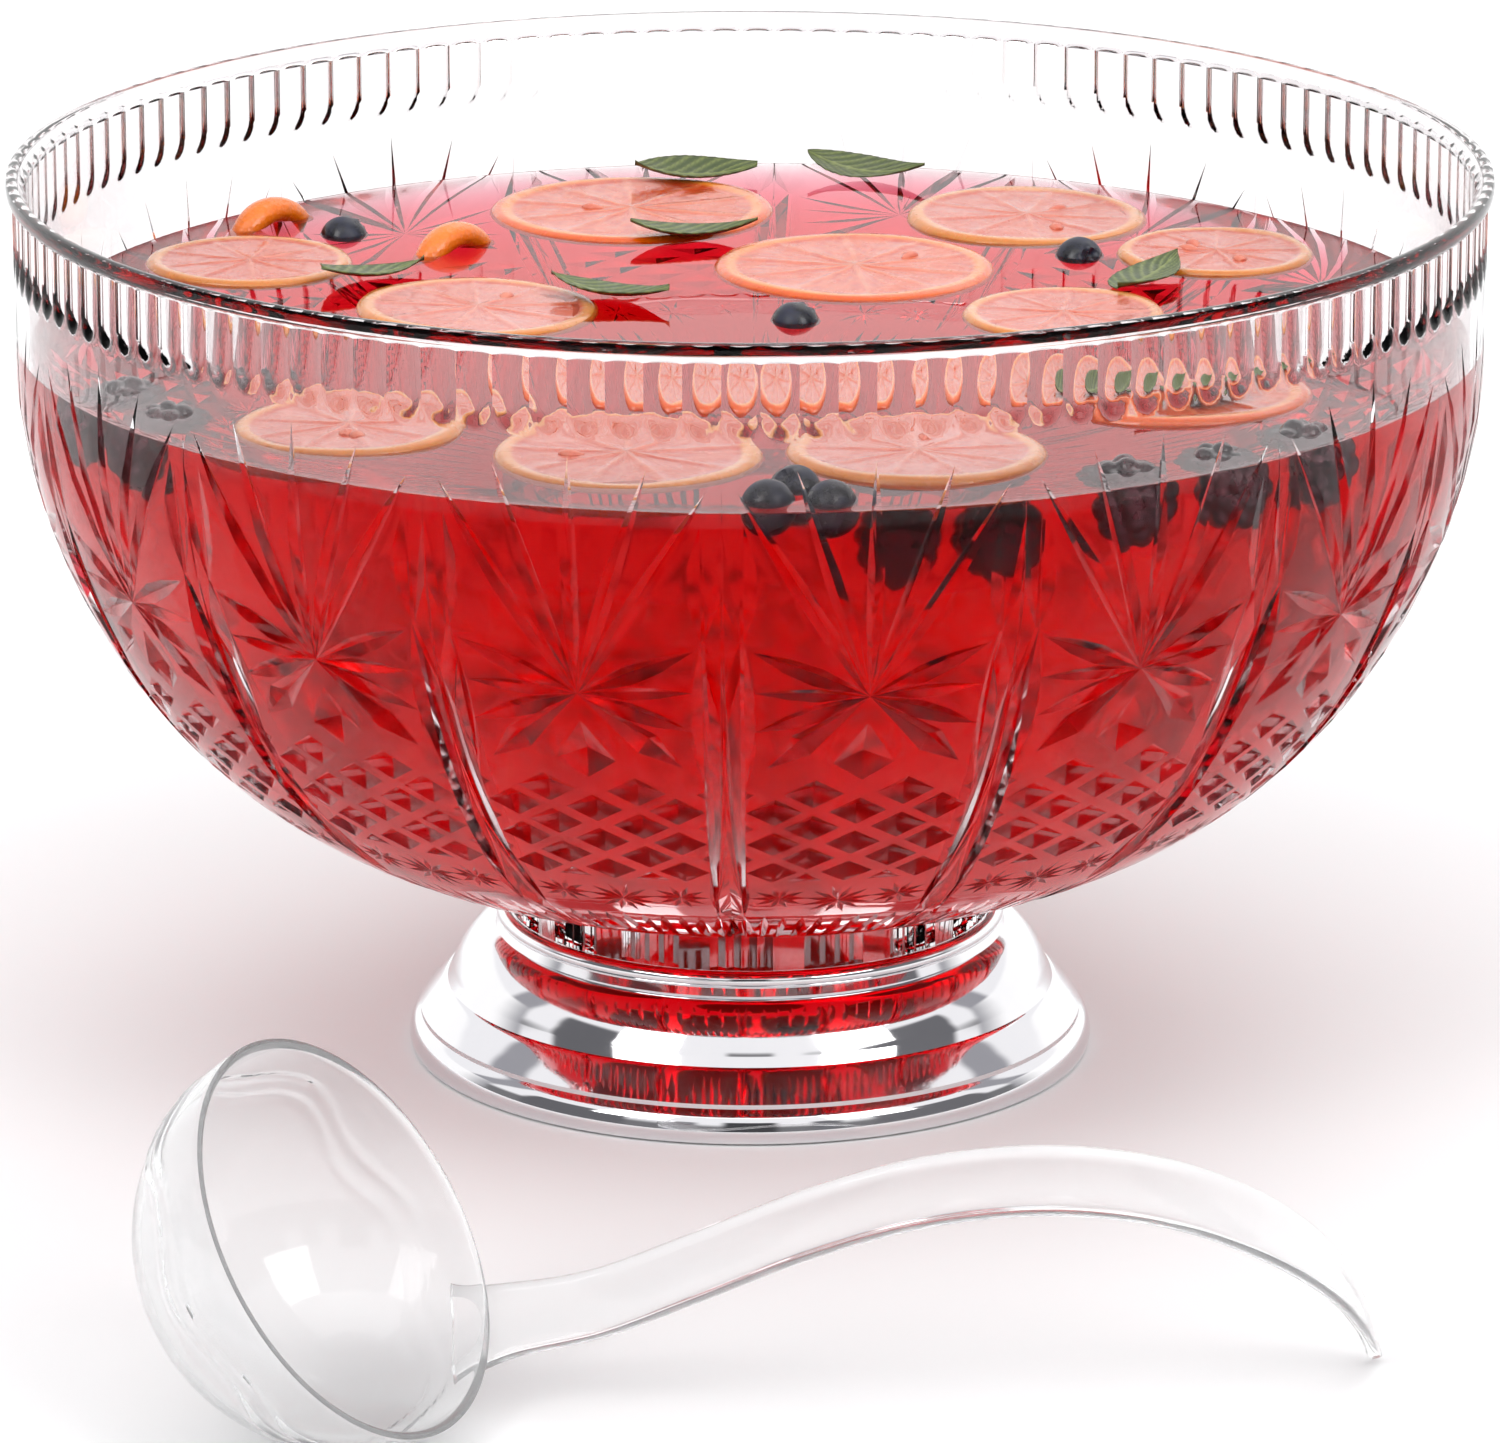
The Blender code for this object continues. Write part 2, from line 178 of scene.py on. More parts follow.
def lathe(name, profile, columns=128, smooth_angle=30.0):
    """A closed solid turned about Z; a profile point on the axis closes it with a fan."""
    verts, faces, rows = [], [], []
    for radius, height in profile:
        if radius < 1e-6:
            rows.append([len(verts)] * columns)
            verts.append((0, 0, height))
        else:
            rows.append(list(range(len(verts), len(verts) + columns)))
            verts += [around(radius, height, 2 * math.pi * c / columns) for c in range(columns)]
    for upper, lower in zip(rows, rows[1:]):
        for c in range(columns):
            d = (c + 1) % columns
            corners = [upper[c], upper[d], lower[d], lower[c]]
            face = tuple(dict.fromkeys(corners))
            if len(face) > 2:
                faces.append(face)
    return mesh_object(name, verts, faces, smooth_angle)


def smooth_profile(points, steps=5):
    """Points on a Catmull-Rom curve through the profile's points."""
    result = []
    count = len(points)
    for n in range(count - 1):
        p0, p1 = Vector(points[max(n - 1, 0)]), Vector(points[n])
        p2, p3 = Vector(points[n + 1]), Vector(points[min(n + 2, count - 1)])
        for k in range(steps):
            t = k / steps
            result.append(0.5 * (2 * p1 + (p2 - p0) * t + (2 * p0 - 5 * p1 + 4 * p2 - p3) * t ** 2
                                 + (3 * p1 - p0 - 3 * p2 + p3) * t ** 3))
    result.append(Vector(points[-1]))
    return result


# ================================================================ materials
def node(tree, kind, inputs=None, out=0, **settings):
    """Adds a node and returns one of its outputs. An input is a constant or another node's output."""
    made = tree.nodes.new(kind)
    for key, value in settings.items():
        setattr(made, key, value)
    for key, value in (inputs or {}).items():
        if isinstance(value, bpy.types.NodeSocket):
            tree.links.new(value, made.inputs[key])
        else:
            made.inputs[key].default_value = value
    return made.outputs[out]


def calc(tree, operation, first, second=0.0, third=0.0):
    return node(tree, "ShaderNodeMath", {0: first, 1: second, 2: third}, operation=operation)


def ramp(tree, value, low, high, to_low=0.0, to_high=1.0):
    """A smooth step from to_low at low to to_high at high."""
    return node(tree, "ShaderNodeMapRange",
                {"Value": value, "From Min": low, "From Max": high, "To Min": to_low, "To Max": to_high},
                interpolation_type="SMOOTHSTEP")


def blend_color(tree, share, first, second):
    made = tree.nodes.new("ShaderNodeMix")
    made.data_type = "RGBA"
    for socket, value in ((made.inputs[0], share), (made.inputs[6], first), (made.inputs[7], second)):
        if isinstance(value, bpy.types.NodeSocket):
            tree.links.new(value, socket)
        else:
            socket.default_value = value
    return made.outputs[2]


def rgb(red, green, blue):
    """A linear colour from display values of 0 to 255."""
    def linear(value):
        share = value / 255
        return share / 12.92 if share <= 0.04045 else ((share + 0.055) / 1.055) ** 2.4
    return (linear(red), linear(green), linear(blue), 1.0)


def noise(tree, scale, detail=3.0, roughness=0.5, vector=None, distortion=0.0):
    inputs = {"Scale": scale, "Detail": detail, "Roughness": roughness, "Distortion": distortion}
    if vector is None:
        vector = node(tree, "ShaderNodeTexCoord", out=3)
    inputs["Vector"] = vector
    return node(tree, "ShaderNodeTexNoise", inputs)


def new_material(name):
    mat = bpy.data.materials.new(name)
    mat.use_nodes = True
    tree = mat.node_tree
    return mat, tree, tree.nodes["Principled BSDF"]


def set_bump(tree, shader, height, strength, distance):
    tree.links.new(node(tree, "ShaderNodeBump",
                        {"Height": height, "Strength": strength, "Distance": distance}),
                   shader.inputs["Normal"])


def clear_plastic(name, tint, low_roughness, high_roughness, bump, gloss=0.6, clearness=1.0):
    """Clear moulded plastic with faint flow waves and a little handling haze."""
    mat, tree, shader = new_material(name)
    shader.inputs["Specular Tint"].default_value = (gloss, gloss, gloss, 1.0)
    haze = noise(tree, 22.0, 5.0, 0.6)
    shader.inputs["Transmission Weight"].default_value = clearness
    shader.inputs["IOR"].default_value = PLASTIC_IOR
    tree.links.new(blend_color(tree, haze, tint, (0.995, 0.995, 0.995, 1.0)), shader.inputs["Base Color"])
    tree.links.new(ramp(tree, haze, 0.45, 0.75, low_roughness, high_roughness), shader.inputs["Roughness"])
    waves = noise(tree, 60.0, 2.0, 0.4)
    set_bump(tree, shader, waves, bump, 0.3 * MM)
    return mat


def punch_material():
    """Clear red drink: the colour comes from its depth, the surface has faint ripples."""
    mat, tree, shader = new_material("punch_liquid")
    shader.inputs["Transmission Weight"].default_value = 1.0
    shader.inputs["IOR"].default_value = DRINK_IOR
    cloud = noise(tree, 9.0, 3.0, 0.55)
    tree.links.new(blend_color(tree, cloud, (1.0, 0.93, 0.93, 1.0), (1.0, 0.98, 0.98, 1.0)),
                   shader.inputs["Base Color"])
    # The drink is a little cloudy: its top is bright and clear, what shows through its side is soft.
    facing = tree.nodes.new("ShaderNodeSeparateXYZ")
    tree.links.new(node(tree, "ShaderNodeNewGeometry", out=1), facing.inputs[0])
    side = ramp(tree, facing.outputs[2], 0.2, 0.7, DRINK_SIDE_ROUGHNESS, 0.0)
    tree.links.new(calc(tree, "ADD", side, calc(tree, "MULTIPLY", cloud, 0.02)), shader.inputs["Roughness"])
    shader.inputs["Specular Tint"].default_value = (DRINK_GLOSS, DRINK_GLOSS, DRINK_GLOSS, 1.0)
    ripples = noise(tree, 28.0, 2.0, 0.4)
    set_bump(tree, shader, ripples, 0.10, 1.0 * MM)
    depth = tree.nodes.new("ShaderNodeVolumeAbsorption")
    depth.inputs["Color"].default_value = DRINK_COLOUR
    depth.inputs["Density"].default_value = DRINK_DENSITY
    tree.links.new(depth.outputs[0], tree.nodes["Material Output"].inputs["Volume"])
    return mat


def mottled(name, pattern, colours, colour_range, sheen_range, roughness, bump):
    """A material whose colour and roughness follow a noise pattern.

    pattern is the noise's scale, detail and roughness. The colours are blended by the pattern, through
    a smooth step over colour_range if it has one, and the roughness goes between its two values over
    sheen_range. bump is a strength and a distance in mm, or None.
    """
    mat, tree, shader = new_material(name)
    marks = noise(tree, *pattern)
    share = ramp(tree, marks, *colour_range) if colour_range else marks
    tree.links.new(blend_color(tree, share, *colours), shader.inputs["Base Color"])
    tree.links.new(ramp(tree, marks, *sheen_range, *roughness), shader.inputs["Roughness"])
    if bump:
        set_bump(tree, shader, marks, bump[0], bump[1] * MM)
    return mat, tree, shader


def chrome_material():
    mat, tree, shader = mottled("bright_plating", (35.0, 6.0, 0.6), (rgb(222, 222, 226), rgb(240, 238, 238)),
                                None, (0.35, 0.75), (0.035, 0.09), None)
    shader.inputs["Metallic"].default_value = 1.0
    set_bump(tree, shader, noise(tree, 14.0, 2.0, 0.4), 0.06, 1.0 * MM)
    return mat


def plate_material():
    mat, _, shader = mottled("satin_closing_plate", (240.0, 5.0, 0.6),
                             (rgb(120, 121, 124), rgb(158, 159, 161)), None, (0.3, 0.7), (0.42, 0.6),
                             (0.3, 0.2))
    shader.inputs["Metallic"].default_value = 0.4
    return mat


def felt_material():
    mat, tree, shader = new_material("dark_felt")
    fibres = noise(tree, 900.0, 6.0, 0.75, distortion=1.5)
    tufts = noise(tree, 70.0, 3.0, 0.6)
    both = calc(tree, "ADD", calc(tree, "MULTIPLY", fibres, 0.7), calc(tree, "MULTIPLY", tufts, 0.3))
    tree.links.new(blend_color(tree, both, rgb(26, 26, 30), rgb(78, 78, 86)), shader.inputs["Base Color"])
    tree.links.new(ramp(tree, both, 0.3, 0.7, 0.9, 1.0), shader.inputs["Roughness"])
    shader.inputs["Sheen Weight"].default_value = 0.4
    set_bump(tree, shader, fibres, 0.8, 0.4 * MM)
    return mat


def citrus_material(name, radius, segments, flesh, pale_flesh, membrane, pith, peel):
    """A cut citrus face: juice cells in segments between pale membranes, then pith and peel."""
    mat, tree, shader = new_material(name)
    place = node(tree, "ShaderNodeTexCoord", out=3)
    parts = tree.nodes.new("ShaderNodeSeparateXYZ")
    tree.links.new(place, parts.inputs[0])
    across, along = parts.outputs[0], parts.outputs[1]
    reach = calc(tree, "DIVIDE",
                 calc(tree, "SQRT", calc(tree, "ADD", calc(tree, "MULTIPLY", across, across),
                                         calc(tree, "MULTIPLY", along, along))), radius)
    wobble = calc(tree, "MULTIPLY", calc(tree, "SUBTRACT", noise(tree, 90.0, 2.0, 0.5, place), 0.5), 0.35)
    turn = calc(tree, "ADD", calc(tree, "MULTIPLY", calc(tree, "ARCTAN2", along, across),
                                  segments / (2 * math.pi)), wobble)
    saw = calc(tree, "ABSOLUTE", calc(tree, "SUBTRACT", calc(tree, "FRACT", turn), 0.5))
    # Distance from the nearest membrane, as a share of the slice's radius.
    off = calc(tree, "MULTIPLY", calc(tree, "SUBTRACT", 0.5, saw),
               calc(tree, "MULTIPLY", reach, 2 * math.pi / segments))
    cells_at = node(tree, "ShaderNodeCombineXYZ",
                    {0: calc(tree, "MULTIPLY", turn, 3.4), 1: calc(tree, "MULTIPLY", reach, 4.2)})
    cells = node(tree, "ShaderNodeTexVoronoi", {"Vector": cells_at, "Scale": 1.6, "Randomness": 1.0})
    mottle = noise(tree, 130.0, 4.0, 0.6, place)
    body = blend_color(tree, ramp(tree, cells, 0.1, 0.75), flesh, pale_flesh)
    body = blend_color(tree, ramp(tree, mottle, 0.35, 0.8, 0.0, 0.55), body, pale_flesh)
    wall = ramp(tree, off, 0.008, 0.030, 1.0, 0.0)
    core = ramp(tree, reach, 0.05, 0.12, 1.0, 0.0)
    lines = calc(tree, "MAXIMUM", wall, core)
    body = blend_color(tree, calc(tree, "MULTIPLY", lines, 0.45), body, membrane)
    body = blend_color(tree, ramp(tree, reach, 0.82, 0.87), body, pith)
    pores = noise(tree, 420.0, 3.0, 0.6, place)
    rind = blend_color(tree, pores, peel, tuple(0.72 * c for c in peel[:3]) + (1.0,))
    body = blend_color(tree, ramp(tree, reach, 0.90, 0.94), body, rind)
    tree.links.new(body, shader.inputs["Base Color"])
    tree.links.new(ramp(tree, mottle, 0.3, 0.7, 0.12, 0.35), shader.inputs["Roughness"])
    shader.inputs["Coat Weight"].default_value = 0.5
    shader.inputs["Coat Roughness"].default_value = 0.06
    shader.inputs["Subsurface Weight"].default_value = 0.6
    shader.inputs["Subsurface Radius"].default_value = (1.0, 0.5, 0.25)
    shader.inputs["Subsurface Scale"].default_value = 2.5 * MM
    grain = calc(tree, "ADD", calc(tree, "MULTIPLY", cells, 0.6), calc(tree, "MULTIPLY", pores, 0.4))
    set_bump(tree, shader, grain, 0.5, 0.5 * MM)
    return mat


def peel_material():
    """The outside of an orange: pitted, oily and uneven, with a paler cut edge below."""
    mat, tree, shader = new_material("orange_peel_skin")
    place = node(tree, "ShaderNodeTexCoord", out=3)
    parts = tree.nodes.new("ShaderNodeSeparateXYZ")
    tree.links.new(place, parts.inputs[0])
    patch = noise(tree, 60.0, 4.0, 0.6, place)
    skin = blend_color(tree, patch, rgb(236, 96, 4), rgb(250, 142, 24))
    flesh = blend_color(tree, patch, rgb(225, 88, 40), rgb(238, 140, 90))
    inward = ramp(tree, calc(tree, "ADD", parts.outputs[2], calc(tree, "MULTIPLY", patch, 2 * MM)),
                  4.5 * MM, 6.5 * MM)
    tree.links.new(blend_color(tree, inward, flesh, skin), shader.inputs["Base Color"])
    pits = node(tree, "ShaderNodeTexVoronoi", {"Vector": place, "Scale": 900.0})
    tree.links.new(ramp(tree, pits, 0.1, 0.6, 0.42, 0.22), shader.inputs["Roughness"])
    shader.inputs["Coat Weight"].default_value = 0.4
    set_bump(tree, shader, pits, 0.55, 0.3 * MM)
    return mat


def blueberry_material():
    return mottled("blueberry_bloom", (160.0, 6.0, 0.65), (rgb(10, 9, 18), rgb(38, 42, 64)),
                   (0.35, 0.72), (0.35, 0.7), (0.18, 0.55), (0.35, 0.3))[0]


def bramble_material():
    mat, tree, shader = mottled("bramble_drupelets", (110.0, 4.0, 0.6), (rgb(16, 4, 10), rgb(70, 8, 22)),
                                (0.4, 0.75), (0.3, 0.7), (0.12, 0.3), None)
    shader.inputs["Coat Weight"].default_value = 0.6
    set_bump(tree, shader, noise(tree, 700.0, 2.0, 0.5), 0.2, 0.2 * MM)
    return mat


def leaf_material():
    """A mint leaf: darker between its veins, paler along them."""
    mat, tree, shader = new_material("mint_leaf_green")
    place = node(tree, "ShaderNodeTexCoord", out=3)
    veins = node(tree, "ShaderNodeAttribute", attribute_name="vein", out=2)
    patch = noise(tree, 140.0, 5.0, 0.6, place)
    green = blend_color(tree, patch, rgb(44, 56, 32), rgb(88, 102, 58))
    tree.links.new(blend_color(tree, calc(tree, "MULTIPLY", veins, 0.7), green, rgb(150, 160, 92)),
                   shader.inputs["Base Color"])
    tree.links.new(ramp(tree, patch, 0.3, 0.7, 0.28, 0.5), shader.inputs["Roughness"])
    wrinkles = node(tree, "ShaderNodeTexVoronoi", {"Vector": place, "Scale": 420.0})
    set_bump(tree, shader, wrinkles, 0.5, 0.4 * MM)
    return mat


def seed_material():
    return mottled("citrus_seed", (400.0, 4.0, 0.6), (rgb(196, 62, 52), rgb(228, 150, 118)),
                   None, (0.3, 0.7), (0.2, 0.4), None)[0]


def floor_material():
    mat, tree, shader = new_material("pale_floor")
    grain = noise(tree, 3.0, 3.0, 0.5)
    tree.links.new(blend_color(tree, grain, (0.89, 0.89, 0.89, 1), (0.92, 0.92, 0.92, 1)),
                   shader.inputs["Base Color"])
    shader.inputs["Roughness"].default_value = 0.8
    shader.inputs["Specular IOR Level"].default_value = 0.1
    return mat


# ================================================================ the bowl
def wall_tables():
    """Radius, height and outward slope of the outer wall against the distance s down it, in mm."""
    depths = np.linspace(0, HEIGHT - FOOT_TOP, 900)
    below = np.clip((depths - EQUATOR_DEPTH) / OUTER_DROP, 0, 1)
    radius = WALL_RADIUS * (1 - below ** DEPTH_POWER) ** (1 / RADIUS_POWER)
    height = HEIGHT - depths
    steps = np.hypot(np.diff(radius), np.diff(height))
    s = np.concatenate([[0], np.cumsum(steps)]) / MM
    tangent_r, tangent_z = np.gradient(radius, s), np.gradient(height, s)
    size = np.hypot(tangent_r, tangent_z)
    return s, radius, height, -tangent_z / size, tangent_r / size


WALL_S, WALL_R, WALL_Z, WALL_NR, WALL_NZ = wall_tables()
WALL_END = float(WALL_S[-1])


def wall_curve(radius, drop, depth):
    """Radius at a depth below the rim of a wall that is upright above its equator and then curves in."""
    below = max(0.0, depth - EQUATOR_DEPTH) / drop
    return radius * (1 - min(1.0, below) ** DEPTH_POWER) ** (1 / RADIUS_POWER)


def on_wall(s, depth=0.0):
    """Radius and height of a point s mm down the outer wall and depth mm into it."""
    radius = np.interp(s, WALL_S, WALL_R) - depth * MM * np.interp(s, WALL_S, WALL_NR)
    height = np.interp(s, WALL_S, WALL_Z) - depth * MM * np.interp(s, WALL_S, WALL_NZ)
    return float(radius), float(height)


def needle(start, tip, widths, slope=CUT_SLOPE, halves=(-1, 1)):
    """A V-shaped cut: triangles of (x, s, depth). Widths are (share of length, half width in mm)."""
    a = Vector((start[0] * DEGREE, start[1]))
    b = Vector((tip[0] * DEGREE, tip[1]))
    along = (b - a).normalized()
    across = Vector((-along.y, along.x))
    triangles = []
    stations = [(a + (b - a) * share, width) for share, width in widths]
    for (p, w), (q, v) in zip(stations, stations[1:]):
        for half in halves:
            p_out, q_out = p + across * w * half, q + across * v * half
            corners = [(p.x, p.y, w * slope), (q.x, q.y, v * slope)]
            if v > 0:
                triangles.append((corners[0], corners[1], (q_out.x, q_out.y, 0)))
            if w > 0:
                end = (q_out.x, q_out.y, 0) if v > 0 else corners[1]
                triangles.append((corners[0], end, (p_out.x, p_out.y, 0)))
    return triangles


def pyramid(outline, apex, depth):
    """A pointed hollow under an outline of (degrees, s) points."""
    top = (apex[0] * DEGREE, apex[1], depth)
    corners = [(a * DEGREE, s, 0.0) for a, s in outline]
    return [(top, first, second) for first, second in zip(corners, corners[1:] + corners[:1])
            if abs((first[0] - top[0]) * (second[1] - top[1])
                   - (second[0] - top[0]) * (first[1] - top[1])) > 1e-6]


def diamond(a, s, half_width, half_height, depth):
    """A four-sided hollow; only the part on the half panel is made."""
    if a == 0:
        return pyramid([(0, s - half_height), (half_width, s), (0, s + half_height)], (0, s), depth)
    return pyramid([(a - half_width, s), (a, s - half_height), (a + half_width, s), (a, s + half_height)],
                   (a, s), depth)


def star_cuts():
    centre = (0, 85)
    needle_widths = [(0, 0), (0.06, 0.75), (0.3, 1.7), (0.55, 1.9), (0.8, 1.1), (1, 0)]
    petal_widths = [(0, 0), (0.15, 1.2), (0.45, 2.5), (0.7, 2.0), (1, 0)]
    small_widths = [(0, 0), (0.15, 0.9), (0.45, 1.8), (0.7, 1.4), (1, 0)]
    kite_widths = [(0, 0), (0.3, 1.5), (0.66, 3.6), (1, 0)]
    cuts = needle(centre, (0, 26.6), needle_widths, halves=(1,))
    for tip in ((5.8, 29.2), (10.1, 34.2)):
        cuts += needle(centre, tip, needle_widths)
    cuts += needle(centre, (9.1, 72.5), petal_widths)
    cuts += needle(centre, (8.9, 83.5), small_widths)
    cuts += needle(centre, (8.8, 94.5), petal_widths)
    cuts += needle(centre, (7.9, 105.5), kite_widths)
    cuts += pyramid([(0, 92.5), (2.5, 104.2), (0, 109.7)], (0, 102.5), 2.5)
    return cuts


def lattice_cuts():
    half_width, half_height, depth = 2.5, 4.7, 2.5
    cuts = []
    for s in (114.0, 126.0, 138.2):
        cuts += diamond(3.85, s, half_width, half_height, depth)
        cuts += pyramid([(8.85, s), (9.6, s - 1.6), (9.6, s + 1.6)], (9.4, s), 0.5)
    for s in (120.2, 132.1, 144.4):
        cuts += diamond(0, s, half_width, half_height, depth)
        cuts += diamond(7.1, s, min(half_width, 2.4), half_height, depth)
    cuts += pyramid([(2.2, 148.6), (3.85, 144.8), (5.5, 148.6)], (3.85, 147.2), 1.2)
    return cuts


def fan_cuts():
    """Small rosettes and rays between the lattice and the foot."""
    cuts = []
    petal = [(0, 0), (0.45, 1.0), (1, 0)]
    for a, s, reach, turns in ((0, 160, 8.5, 12), (6.2, 158, 6.5, 10)):
        for k in range(turns):
            angle = 2 * math.pi * (k + 0.5) / turns
            tip = (a + reach * math.sin(angle) / DEGREE * 1.35, s + reach * math.cos(angle))
            if a == 0 and tip[0] < 0.05:
                continue
            cuts += needle((a, s), tip, petal, slope=0.6)
    for k in range(5):
        a = 1.1 + 2.15 * k
        cuts += needle((a, 171), (a, 199), [(0, 0), (0.2, 1.5), (0.8, 1.2), (1, 0)], slope=0.4)
    for k in range(3):
        a = 1.9 + 3.75 * k
        cuts += needle((a, 203), (a, WALL_END - 6), [(0, 0), (0.3, 2.2), (0.8, 2.0), (1, 0)], slope=0.22)
    return cuts


def divider_cuts():
    """The flute between two panels and the flat ribbon it runs in."""
    edge, floor_edge, depth = 9.65 * DEGREE, 9.95 * DEGREE, RIBBON_DEPTH
    middle = HALF_PANEL * DEGREE
    cuts = []
    stations = [(42.0, 0.0), (70.0, depth), (168.0, depth), (WALL_END - 3, 0.0)]
    for (s, d), (t, e) in zip(stations, stations[1:]):
        cuts += [((edge, s, 0), (floor_edge, s, d), (edge, t, 0)),
                 ((edge, t, 0), (floor_edge, s, d), (floor_edge, t, e)),
                 ((floor_edge, s, d), (middle, s, d), (floor_edge, t, e)),
                 ((floor_edge, t, e), (middle, s, d), (middle, t, e))]
    flute = [(33.0, 0.0, 0.0), (60.0, 0.42, 0.3), (108.0, 0.5, 0.35), (128.0, 1.4, 0.7),
             (158.0, 3.5, 1.3), (168.0, 3.3, 1.2), (174.0, 0.0, 0.0)]
    for (s, w, d), (t, v, e) in zip(flute, flute[1:]):
        first, second = (middle, s, d), (middle, t, e)
        if v > 0:
            cuts.append((first, second, (middle - v, t, 0)))
        if w > 0:
            cuts.append((first, (middle - v, t, 0) if v > 0 else second, (middle - w, s, 0)))
    return cuts


def depth_at(points, triangles):
    """The deepest of the cuts over each (x, s) point."""
    result = np.zeros(len(points))
    for a, b, c in triangles:
        det = (b[1] - c[1]) * (a[0] - c[0]) + (c[0] - b[0]) * (a[1] - c[1])
        if abs(det) < 1e-9:
            continue
        u = ((b[1] - c[1]) * (points[:, 0] - c[0]) + (c[0] - b[0]) * (points[:, 1] - c[1])) / det
        v = ((c[1] - a[1]) * (points[:, 0] - c[0]) + (a[0] - c[0]) * (points[:, 1] - c[1])) / det
        w = 1 - u - v
        inside = (u > -1e-4) & (v > -1e-4) & (w > -1e-4)
        depth = u * a[2] + v * b[2] + w * c[2]
        result = np.where(inside, np.maximum(result, depth), result)
    return result


def far_from_edges(point, starts, ends, room):
    along = ends - starts
    size = np.maximum((along ** 2).sum(1), 1e-9)
    share = np.clip(((point - starts) * along).sum(1) / size, 0, 1)
    gaps = np.linalg.norm(starts + along * share[:, None] - point, axis=1)
    return gaps.min() > room


def half_panel_mesh():
    """Points (degrees, s, depth) and triangles of half a panel, from its centre to its divider."""
    cuts = star_cuts() + lattice_cuts() + fan_cuts() + divider_cuts()
    right = HALF_PANEL * DEGREE
    points, edges = [], []

    def add_line(line):
        first = len(points)
        points.extend(Vector((x, s)) for x, s in line)
        edges.extend((first + n, first + n + 1) for n in range(len(line) - 1))

    columns = FLUTES // PANELS // 2 * FLUTE_COLUMNS
    add_line([(right * n / columns, FLUTE_END) for n in range(columns + 1)])
    add_line([(right * n / 6, WALL_END) for n in range(7)])
    rows = [FLUTE_END + (WALL_END - FLUTE_END) * n / GRID_ROWS for n in range(GRID_ROWS + 1)]
    add_line([(0.0, s) for s in rows])
    add_line([(right, s) for s in rows])
    for triangle in cuts:
        first = len(points)
        points.extend(Vector((min(max(x, 0.0), right), s)) for x, s, _ in triangle)
        edges.extend([(first, first + 1), (first + 1, first + 2), (first + 2, first)])
    starts = np.array([points[e[0]] for e in edges])
    ends = np.array([points[e[1]] for e in edges])
    for i, s in enumerate(rows[1:-1]):
        for n in range(GRID_COLUMNS):
            x = right * (n + (0.5 if i % 2 else 0.95)) / (GRID_COLUMNS + 0.4)
            spot = np.array((x, s))
            if far_from_edges(spot, starts, ends, GRID_ROOM) and depth_at(spot[None], cuts)[0] == 0:
                points.append(Vector((x, s)))
    flat, _, triangles, *_ = delaunay_2d_cdt(points, edges, [], 0, 1e-4)
    spots = np.array([(p.x, p.y) for p in flat])
    depths = depth_at(spots, cuts)
    return [(p[0] / DEGREE, p[1], d) for p, d in zip(spots, depths)], [tuple(t) for t in triangles]


def flute_depth(across, s):
    """Depth of a rim flute. across runs from -1 to 1 over one flute; its foot is a round arch."""
    arch = FLUTE_FOOT - FLUTE_ARCH * across ** 2
    run_out = min(1.0, max(0.0, (arch - s) / FLUTE_RUN_OUT))
    return FLUTE_DEPTH * (1 - across ** 2) * run_out ** 0.6


